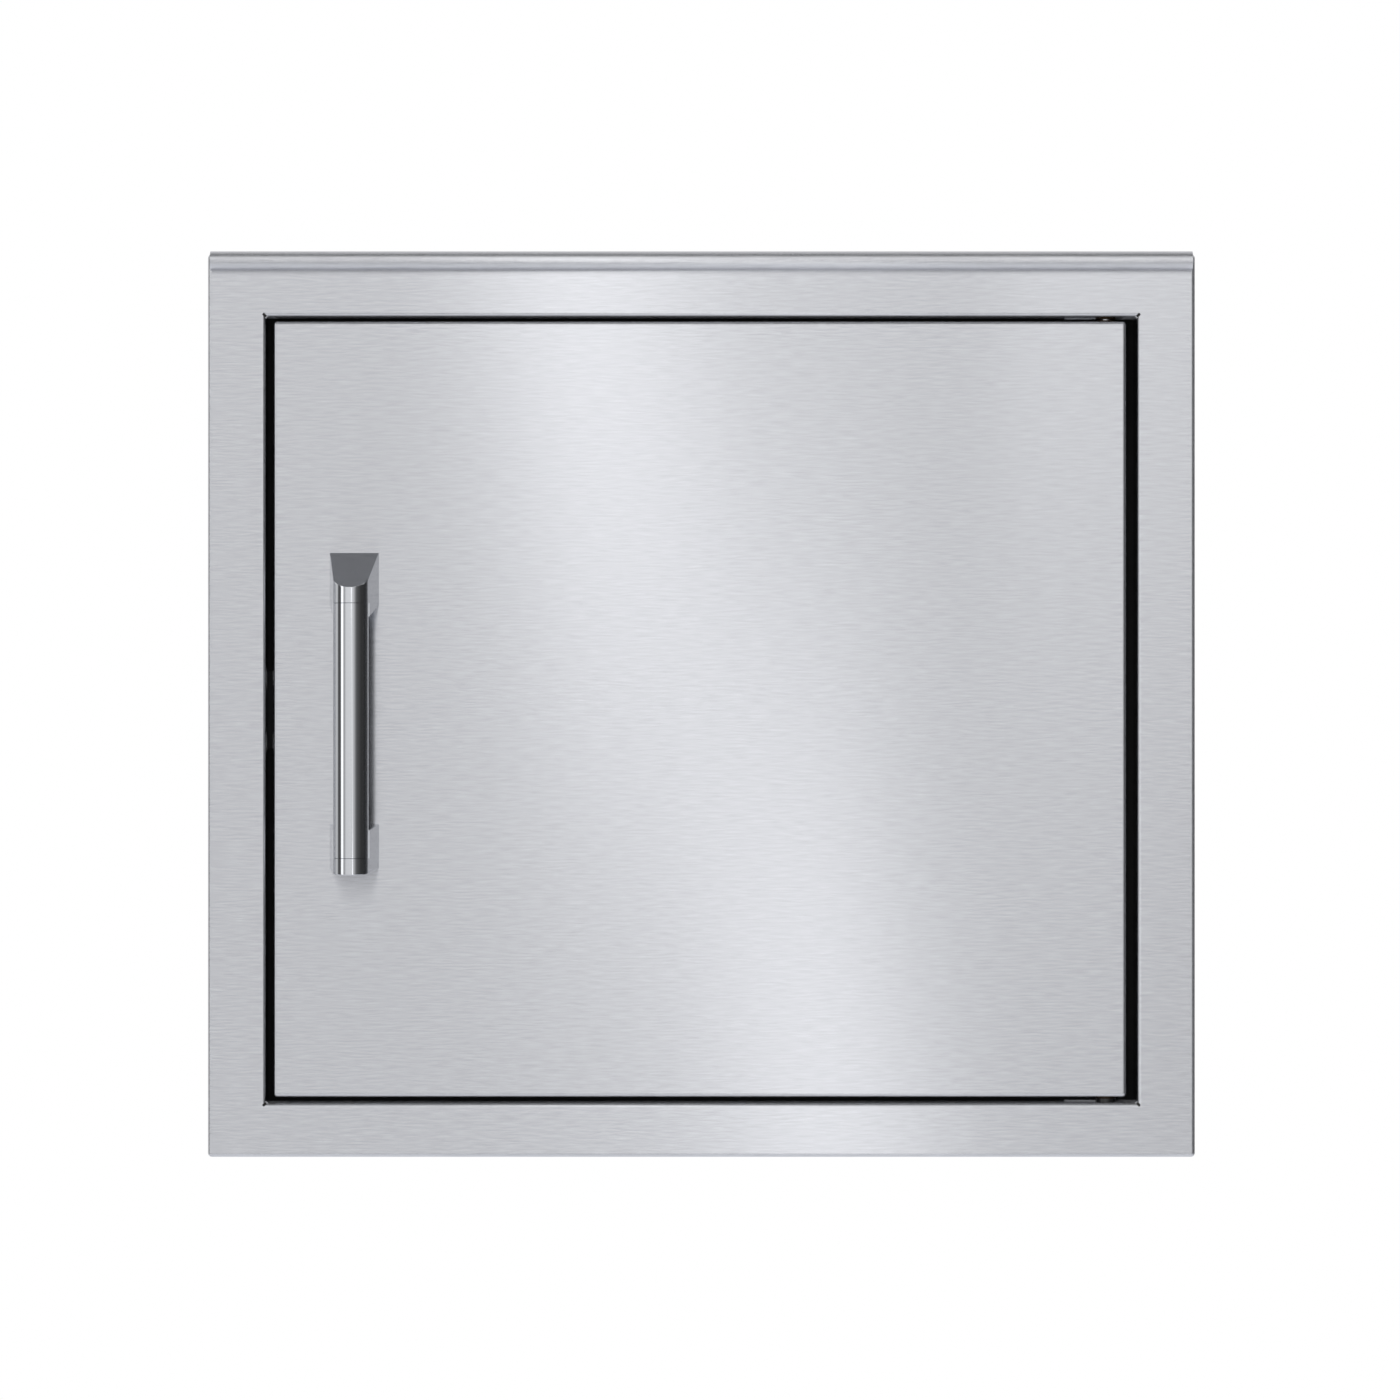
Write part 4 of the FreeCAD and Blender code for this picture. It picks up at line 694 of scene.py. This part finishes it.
class ScrewSizes(bpy.types.PropertyGroup):
    """The two pan-head screws of the catch."""

    head_radius: FloatProperty(
        name="Head radius", description="Radius of the head", default=3.4 * MM, unit="LENGTH")
    head_height: FloatProperty(
        name="Head height", description="Height of the head", default=2.2 * MM, unit="LENGTH")
    shank_radius: FloatProperty(
        name="Shank radius", description="Radius of the shank", default=1.9 * MM, unit="LENGTH")
    recess_reach: FloatProperty(
        name="Recess reach", description="From end to end of the cross", default=3.8 * MM, unit="LENGTH")
    recess_width: FloatProperty(
        name="Recess width", description="Width of a slot of the cross", default=0.95 * MM,
        unit="LENGTH")
    recess_depth: FloatProperty(
        name="Recess depth", description="Depth of the cross", default=1.4 * MM, unit="LENGTH")


class StageLook(bpy.types.PropertyGroup):
    """The studio and the camera."""

    distance: FloatProperty(
        name="Camera distance", description="From the face of the wall", default=3.0, unit="LENGTH")
    aside: FloatProperty(
        name="Camera aside", description="How far right of the middle the camera stands",
        default=-0.9 * MM, unit="LENGTH")
    height: FloatProperty(
        name="Camera height", description="How far above the middle of the cutout it stands",
        default=6 * MM, unit="LENGTH")
    lens: FloatProperty(
        name="Lens", description="Focal length on a 36 mm sensor", default=124.3, unit="CAMERA")
    floor_drop: FloatProperty(
        name="Floor drop", description="How far the floor lies below the middle of the cutout",
        default=1.4, unit="LENGTH")
    floor_side: FloatProperty(
        name="Floor side", description="Length of the floor's sides", default=4.0, unit="LENGTH")
    floor_paint: StringProperty(name="Floor paint", description="sRGB hex colour", default="D6D9E0")
    wall_level: FloatProperty(
        name="Wall level", description="Level of the studio's walls in metal, where 1 is white",
        default=1.07)
    strip_width: FloatProperty(
        name="Strip width", description="Width of the soft front lights", default=0.15, unit="LENGTH")
    strip_length: FloatProperty(
        name="Strip length", description="Length of each of them", default=0.5, unit="LENGTH")
    strip_gap: FloatProperty(
        name="Strip gap", description="Between the upper and the lower one", default=0.225,
        unit="LENGTH")
    gap_drop: FloatProperty(
        name="Gap drop", description="How far that gap's middle lies below the cutout's middle",
        default=0.018, unit="LENGTH")
    strip_distance: FloatProperty(
        name="Strip distance", description="From the wall to the front lights", default=1.1,
        unit="LENGTH")
    strip_lean: FloatProperty(
        name="Strip lean", description="How far their line leans to the left",
        default=math.radians(17), subtype="ANGLE")
    strip_level: FloatProperty(
        name="Strip level", description="Their brightness in a perfect mirror, where 1 is white",
        default=1.05)
    bridge_level: FloatProperty(
        name="Bridge level", description="The same for the faint light in the gap between them",
        default=0.45)
    fill_level: FloatProperty(
        name="Fill level", description="The same for the faint light at the upper right", default=0.5)


# The steps, one for each group of pieces

class ACCESSDOOR_OT_trim_and_door(bpy.types.Operator):
    """Brush the trim frame, its drip lip and the front of the door"""

    bl_idname = "access_door.trim_and_door"
    bl_label = "Trim and door"

    def execute(self, context):
        finish_with(stainless_sheet_brushed, context.scene.access_door.brushed,
                    "face_frame", "drip_cap", "door_skin")
        return {"FINISHED"}


class ACCESSDOOR_OT_liner_and_stops(bpy.types.Operator):
    """Finish the back of the door and the stops that it closes on"""

    bl_idname = "access_door.liner_and_stops"
    bl_label = "Liner and stops"

    def execute(self, context):
        finish_with(stainless_sheet_mill_rolled, context.scene.access_door.plate,
                    "door_liner", "stop_side_upper", "stop_side_lower", "stop_top",
                    "stop_bottom", "stop_hinge_side")
        return {"FINISHED"}


class ACCESSDOOR_OT_handle(bpy.types.Operator):
    """Buff the handle and finish what holds it"""

    bl_idname = "access_door.handle"
    bl_label = "Handle"

    def execute(self, context):
        looks = context.scene.access_door
        finish_with(stainless_buffed_bright, looks.buffed,
                    "handle_tube", "handle_post_upper", "handle_post_lower")
        finish_with(steel_zinc_plated, looks.plate, "handle_backing_plate", "handle_spacers")
        finish_with(stainless_turned, looks.fittings, "handle_screws", "handle_washers")
        return {"FINISHED"}


class ACCESSDOOR_OT_pivots(bpy.types.Operator):
    """Finish the fixed pivot below and the plates and bushes of both pivots"""

    bl_idname = "access_door.pivots"
    bl_label = "Pivots"

    def execute(self, context):
        looks = context.scene.access_door
        finish_with(steel_zinc_plated, looks.plate,
                    "lower_pivot_plate", "upper_pivot_plate", "lower_hinge_bracket")
        finish_with(stainless_turned, looks.fittings, "lower_pivot_pin")
        finish_with(bronze_sintered_oiled_and_painted_gap_shade, looks.fittings, "lower_pivot_bush", "upper_pivot_bush")
        finish_with(acetal_turned_black, looks.soft, "lower_thrust_washer")
        return {"FINISHED"}


class ACCESSDOOR_OT_spring_bolt(bpy.types.Operator):
    """Finish the spring bolt at the door's top corner, and put a smooth copy in place of its spring"""

    bl_idname = "access_door.spring_bolt"
    bl_label = "Spring bolt"

    def execute(self, context):
        looks = context.scene.access_door
        finish_with(steel_zinc_plated, looks.plate, "bolt_bracket")
        finish_with(stainless_turned, looks.fittings, "pivot_bolt", "bolt_clip")
        finish_with(bronze_sintered_oiled_and_painted_gap_shade, looks.fittings, "upper_guide_bush")
        finish_with(vinyl_dipped_black, looks.soft, "bolt_grip")
        spring = merged_copy("bolt_coil_spring", "bolt_spring")
        spring.data.materials.append(finish(spring_wire_drawn, looks.fittings))
        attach(spring, "door")
        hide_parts("bolt_spring")
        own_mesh(spring)
        return {"FINISHED"}


class ACCESSDOOR_OT_catch(bpy.types.Operator):
    """Finish the magnetic catch and its strike plate"""

    bl_idname = "access_door.catch"
    bl_label = "Magnetic catch"

    def execute(self, context):
        looks = context.scene.access_door
        finish_with(abs_moulded_black, looks.soft, "catch_housing")
        finish_with(ferrite_fired, looks.soft, "catch_magnet")
        finish_with(steel_zinc_plated, looks.plate, "catch_pole_plates", "strike_plate")
        finish_with(stainless_turned, looks.fittings, "strike_rivets")
        return {"FINISHED"}


class ACCESSDOOR_OT_catch_screws(bpy.types.Operator):
    """Put cross-recessed screws in place of the catch's plain ones"""

    bl_idname = "access_door.catch_screws"
    bl_label = "Catch screws"

    def execute(self, context):
        looks = context.scene.access_door
        sizes = looks.screws
        low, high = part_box("catch_screws")
        screw = pan_screw(sizes, high.x - low.x)
        y = (low.y + high.y) / 2
        ends = [(high.x, y, z) for z in (low.z + sizes.head_radius, high.z - sizes.head_radius)]
        screws = grow("cross_recess_screws", [(*ends, (1, 0, 0))], cross_screw_tree(), {
            "Screw": screw, "Reach": sizes.recess_reach, "Width": sizes.recess_width,
            "Depth": sizes.recess_depth, "Material": finish(stainless_turned, looks.fittings)},
            "frame")
        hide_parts("catch_screws")
        bpy.data.objects.remove(screw)
        return {"FINISHED"}


class ACCESSDOOR_OT_seal_and_bumpers(bpy.types.Operator):
    """Finish the foam seal and the rubber bumpers, and close the seal beside the catch"""

    bl_idname = "access_door.seal_and_bumpers"
    bl_label = "Seal and bumpers"

    def execute(self, context):
        soft = context.scene.access_door.soft
        # The seal and its end pads are near black, partly painted shade that makes the gaps round the
        # door and beside the catch read as black.
        finish_with(foam_black_and_painted_gap_shade, soft, "door_seal")
        finish_with(rubber_moulded_black, soft, "door_bumpers")
        upper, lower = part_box("stop_side_upper"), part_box("stop_side_lower")
        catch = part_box("catch_housing")
        front = catch[0].y
        pads = rounded_blocks("seal_end_pads", (
            ((upper[0].x, front, catch[1].z), (upper[1].x, upper[1].y, upper[0].z)),
            ((lower[0].x, front, lower[1].z), (lower[1].x, lower[1].y, catch[0].z))),
            soft.pad_round)
        pads.data.materials.append(finish(foam_black_and_painted_gap_shade, soft))
        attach(pads, "frame")
        return {"FINISHED"}


class ACCESSDOOR_OT_spot_welds(bpy.types.Operator):
    """Mark the spot welds of the stops and of the door's two shells"""

    bl_idname = "access_door.spot_welds"
    bl_label = "Spot welds"

    def execute(self, context):
        looks = context.scene.access_door
        marks = looks.welds
        tree = spot_weld_tree()
        sizes = {"Spacing": marks.spacing, "Radius": marks.radius, "Height": marks.height,
                 "Dimple": marks.dimple, "Material": finish(stainless_spot_weld_mark, looks.plate)}
        grow("collar_spot_welds", collar_spot_lines(marks), tree, sizes,
             "frame")
        grow("door_edge_spot_welds", door_spot_lines(marks), tree, sizes,
             "door")
        return {"FINISHED"}


class ACCESSDOOR_OT_corner_beads(bpy.types.Operator):
    """Lay the ripples of the weld beads on the collar's corners"""

    bl_idname = "access_door.corner_beads"
    bl_label = "Corner beads"

    def execute(self, context):
        looks = context.scene.access_door
        # The beads are painted dark: their own scale, darkened further as painted shade in the corner
        # notches.
        grow("corner_weld_beads", corner_bead_lines(looks.welds), weld_bead_tree(), {
            "Spacing": looks.welds.ripple, "Radius": looks.welds.bead_radius,
            "Material": finish(weld_bead_scale_and_painted_notch_shade, looks.plate)}, "frame")
        return {"FINISHED"}


# The studio

# What metal sees round it, by degrees to the right of the camera: the room behind the door is
# white, a tall window stands at the left front, and both sides are hung with black.
WALLS = (
    (-180, 1.0), (-158, 1.0), (-150, 0.5), (-122, 0.5), (-108, 0.75), (-93, 0.74), (-86, 0.15),
    (-73, 0.1), (-65, 0.15), (-59, 1.85), (-50, 1.8), (-43, 0.5), (-36, 0.56), (-28, 0.95),
    (5, 1.0), (8, 0.76), (12, 0.55), (16, 0.86), (23, 0.72), (30, 0.48), (38, 0.2), (48, 0.12),
    (75, 0.05), (136, 0.05), (154, 1.0), (180, 1.0))

# What it sees above and below the walls in front of the door, by degrees above the horizon
CEILING = (
    (-90, 0.9), (-30, 0.9), (25, 1.3), (31, 1.2), (40, 0.06), (66, 0.04), (78, 0.3), (90, 0.6))

# The walls reach up to WALL_TOP and have given way to the light above at WALL_FADE, and get
# brighter with height by WALL_RISE. Behind the door they are lower by REAR_DROP, where 1 is half,
# and the light above turns to white within TURN_SHARE of straight sideways.
WALL_TOP, WALL_FADE = math.radians(30), math.radians(39)
WALL_RISE, REAR_DROP, TURN_SHARE = 1.2, 1.5, 0.2

# The light on matt surfaces, and the glow that lifts the floor, where 1 is white
MATT_LEVEL, FLOOR_LIFT = 0.9, 0.42

# The faint light at the upper right
FILL_SIZE, FILL_PLACE = (0.35, 0.4), (0.43, -1.1, 0.42)

# Lights and the camera are made looking down, and this stands them up to look at the door.
STOOD_UP = Matrix.Rotation(math.radians(90), 4, "X")


def light_against_angle(tree, angle, sweep, levels):
    """Light levels from (degrees, level) pairs, read at an angle in radians within a sweep."""
    brightest = max(level for degrees, level in levels)
    half = math.radians(sweep / 2)
    share = add(tree, "ShaderNodeMapRange", {"Value": angle, "From Min": -half, "From Max": half})
    shades = add(tree, "ShaderNodeValToRGB", {"Fac": share.outputs[0]})
    steps = shades.color_ramp.elements
    for degrees, level in levels[1:-1]:
        steps.new(degrees / sweep + 0.5)
    for step, (degrees, level) in zip(steps, levels):
        step.color = (*[level / brightest] * 3, 1)
    level = add(tree, "ShaderNodeMath", {
        0: shades.outputs["Color"], 1: brightest}, operation="MULTIPLY")
    return level.outputs[0]


def ray_kinds(tree):
    """Whether a ray comes straight from the camera, and whether metal or glass sent it."""
    path = add(tree, "ShaderNodeLightPath")
    shiny = add(tree, "ShaderNodeMath", {
        0: path.outputs["Is Glossy Ray"], 1: path.outputs["Is Transmission Ray"]},
        operation="MAXIMUM")
    return path.outputs["Is Camera Ray"], shiny.outputs[0]


def studio_world(stage):
    """White to the camera, plain light on matt surfaces, and a studio for metal to mirror."""
    world = bpy.data.worlds.new("soft_studio")
    world.use_nodes = True
    tree = world.node_tree
    tree.nodes.clear()
    way = add(tree, "ShaderNodeTexCoord")
    parts = add(tree, "ShaderNodeSeparateXYZ", {"Vector": way.outputs["Generated"]})
    front = add(tree, "ShaderNodeMath", {0: parts.outputs["Y"], 1: -1.0}, operation="MULTIPLY")
    azimuth = add(tree, "ShaderNodeMath", {
        0: parts.outputs["X"], 1: front.outputs[0]}, operation="ARCTAN2")
    height = add(tree, "ShaderNodeMath", {0: parts.outputs["Z"]}, operation="ARCSINE")
    walls = light_against_angle(tree, azimuth.outputs[0], sweep=360, levels=WALLS)
    over = light_against_angle(tree, height.outputs[0], sweep=180, levels=CEILING)
    behind = add(tree, "ShaderNodeMapRange", {
        "Value": parts.outputs["Y"], "From Min": -TURN_SHARE, "From Max": TURN_SHARE})
    above = add(tree, "ShaderNodeMix", {0: behind.outputs[0], 2: over, 3: 1.0})
    rise = add(tree, "ShaderNodeMath", {
        0: parts.outputs["Z"], 1: WALL_RISE, 2: 1.0}, operation="MULTIPLY_ADD")
    risen = add(tree, "ShaderNodeMath", {0: walls, 1: rise.outputs[0]}, operation="MULTIPLY")
    off_level = add(tree, "ShaderNodeMath", {0: height.outputs[0]}, operation="ABSOLUTE")
    # With low walls behind the door, its back and its sides mirror more of the white above them.
    lowered = add(tree, "ShaderNodeMath", {
        0: behind.outputs[0], 1: REAR_DROP, 2: 1.0}, operation="MULTIPLY_ADD")
    reach = add(tree, "ShaderNodeMath", {
        0: off_level.outputs[0], 1: lowered.outputs[0]}, operation="MULTIPLY")
    low = add(tree, "ShaderNodeMapRange", {
        "Value": reach.outputs[0], "From Min": WALL_FADE, "From Max": WALL_TOP})
    room = add(tree, "ShaderNodeMix", {
        0: low.outputs[0], 2: above.outputs[0], 3: risen.outputs[0]})
    mirrored = add(tree, "ShaderNodeMath", {
        0: room.outputs[0], 1: stage.wall_level}, operation="MULTIPLY")
    straight, shiny = ray_kinds(tree)
    level = add(tree, "ShaderNodeMix", {0: shiny, 2: MATT_LEVEL, 3: mirrored.outputs[0]})
    seen = add(tree, "ShaderNodeMix", {0: straight, 2: level.outputs[0], 3: 1.0})
    light = add(tree, "ShaderNodeBackground", {
        "Color": (1, 1, 1, 1), "Strength": seen.outputs[0]})
    add(tree, "ShaderNodeOutputWorld", {"Surface": light.outputs[0]})
    bpy.context.scene.world = world


def painted_board_matt_white(tree, stage):
    """Floor board painted matt white: it stays white to the camera and keeps faint shadows."""
    matt = add(tree, "ShaderNodeBsdfDiffuse", {"Color": linear(stage.floor_paint)})
    straight, shiny = ray_kinds(tree)
    seen = add(tree, "ShaderNodeMath", {0: straight, 1: shiny}, operation="MAXIMUM")
    lift = add(tree, "ShaderNodeMath", {0: seen.outputs[0], 1: FLOOR_LIFT}, operation="MULTIPLY")
    glow = add(tree, "ShaderNodeEmission", {"Strength": lift.outputs[0]})
    both = add(tree, "ShaderNodeAddShader", {0: matt.outputs[0], 1: glow.outputs[0]})
    add(tree, "ShaderNodeOutputMaterial", {"Surface": both.outputs[0]})


def pale_floor(stage):
    """A plain floor below the door."""
    half, low = stage.floor_side / 2, -stage.floor_drop
    mesh = bpy.data.meshes.new("floor")
    mesh.from_pydata(
        [(-half, -half, low), (half, -half, low), (half, half, low), (-half, half, low)],
        [], [(0, 1, 2, 3)])
    mesh.materials.append(finish(painted_board_matt_white, stage))
    linked("floor", mesh)


def soft_light(name, width, length, level, place):
    """A rectangular light that faces the door. In a perfect mirror it looks as bright as its
    level, where 1 is white."""
    light = bpy.data.lights.new(name, "AREA")
    light.shape = "RECTANGLE"
    light.size = width
    light.size_y = length
    light.energy = level * math.pi * width * length
    lamp = linked(name, light)
    lamp.matrix_world = place @ STOOD_UP
    lamp.visible_camera = False


def front_lights(stage):
    """Two long soft lights in one leaning line, and a faint one between them at the handle's
    height: the door mirrors them as one soft band. Another faint one lifts its upper right."""
    place = Matrix.Translation((0, -stage.strip_distance, 0))
    line = place @ Matrix.Rotation(-stage.strip_lean, 4, "Y")
    reach = (stage.strip_gap + stage.strip_length) / 2
    for name, length, level, along in (
            ("upper_strip", stage.strip_length, stage.strip_level, reach),
            ("lower_strip", stage.strip_length, stage.strip_level, -reach),
            ("bridge", stage.strip_gap, stage.bridge_level, 0)):
        soft_light(name, stage.strip_width, length, level,
                   line @ Matrix.Translation((0, 0, along - stage.gap_drop)))
    soft_light("fill", *FILL_SIZE, stage.fill_level, Matrix.Translation(FILL_PLACE))


def photo_camera(stage):
    """The camera of the photograph: square on to the door, from far enough to flatten it."""
    data = bpy.data.cameras.new("photo_camera")
    data.lens = stage.lens
    data.sensor_width = 36
    camera = linked("photo_camera", data)
    camera.matrix_world = Matrix.Translation(
        (stage.aside, -stage.distance, stage.height)) @ STOOD_UP
    bpy.context.scene.camera = camera


class ACCESSDOOR_OT_stage(bpy.types.Operator):
    """Set up the floor, the light and the camera"""

    bl_idname = "access_door.stage"
    bl_label = "Studio"

    def execute(self, context):
        stage = context.scene.access_door.stage
        context.scene.view_settings.view_transform = "Standard"
        studio_world(stage)
        pale_floor(stage)
        front_lights(stage)
        photo_camera(stage)
        return {"FINISHED"}


# The add-on

class AccessDoorLooks(bpy.types.PropertyGroup):
    """Everything that a user would change."""

    brushed: PointerProperty(type=BrushedLook, name="Brushed sheet", description="Trim and door")
    buffed: PointerProperty(type=BuffedLook, name="Buffed metal", description="Handle")
    plate: PointerProperty(type=PlateLook, name="Plate", description="Plain sheet and plated steel")
    fittings: PointerProperty(type=FittingsLook, name="Fittings", description="Pins, bushes and spring")
    soft: PointerProperty(type=SoftLook, name="Soft parts", description="Plastics, rubber and foam")
    welds: PointerProperty(type=WeldSizes, name="Welds", description="Spot welds and beads")
    screws: PointerProperty(type=ScrewSizes, name="Screws", description="The catch's screws")
    stage: PointerProperty(type=StageLook, name="Studio", description="Floor, light and camera")


STEPS = (
    ACCESSDOOR_OT_trim_and_door,
    ACCESSDOOR_OT_liner_and_stops,
    ACCESSDOOR_OT_handle,
    ACCESSDOOR_OT_pivots,
    ACCESSDOOR_OT_spring_bolt,
    ACCESSDOOR_OT_catch,
    ACCESSDOOR_OT_catch_screws,
    ACCESSDOOR_OT_seal_and_bumpers,
    ACCESSDOOR_OT_spot_welds,
    ACCESSDOOR_OT_corner_beads,
    ACCESSDOOR_OT_stage,
)


class ACCESSDOOR_PT_panel(bpy.types.Panel):
    """Lists the steps that dress the door"""

    bl_idname = "ACCESSDOOR_PT_panel"
    bl_label = "Access Door"
    bl_space_type = "VIEW_3D"
    bl_region_type = "UI"
    bl_category = "Access Door"

    def draw(self, context):
        for step in STEPS:
            self.layout.operator(step.bl_idname)


CLASSES = (BrushedLook, BuffedLook, PlateLook, FittingsLook, SoftLook, WeldSizes, ScrewSizes,
           StageLook, AccessDoorLooks, *STEPS, ACCESSDOOR_PT_panel)


def register():
    for made in CLASSES:
        bpy.utils.register_class(made)
    bpy.types.Scene.access_door = PointerProperty(type=AccessDoorLooks)


def unregister():
    del bpy.types.Scene.access_door
    for made in reversed(CLASSES):
        bpy.utils.unregister_class(made)


def main():
    register()
    for step in STEPS:
        area, name = step.bl_idname.split(".")
        getattr(getattr(bpy.ops, area), name)()


if __name__ == "__main__":
    main()
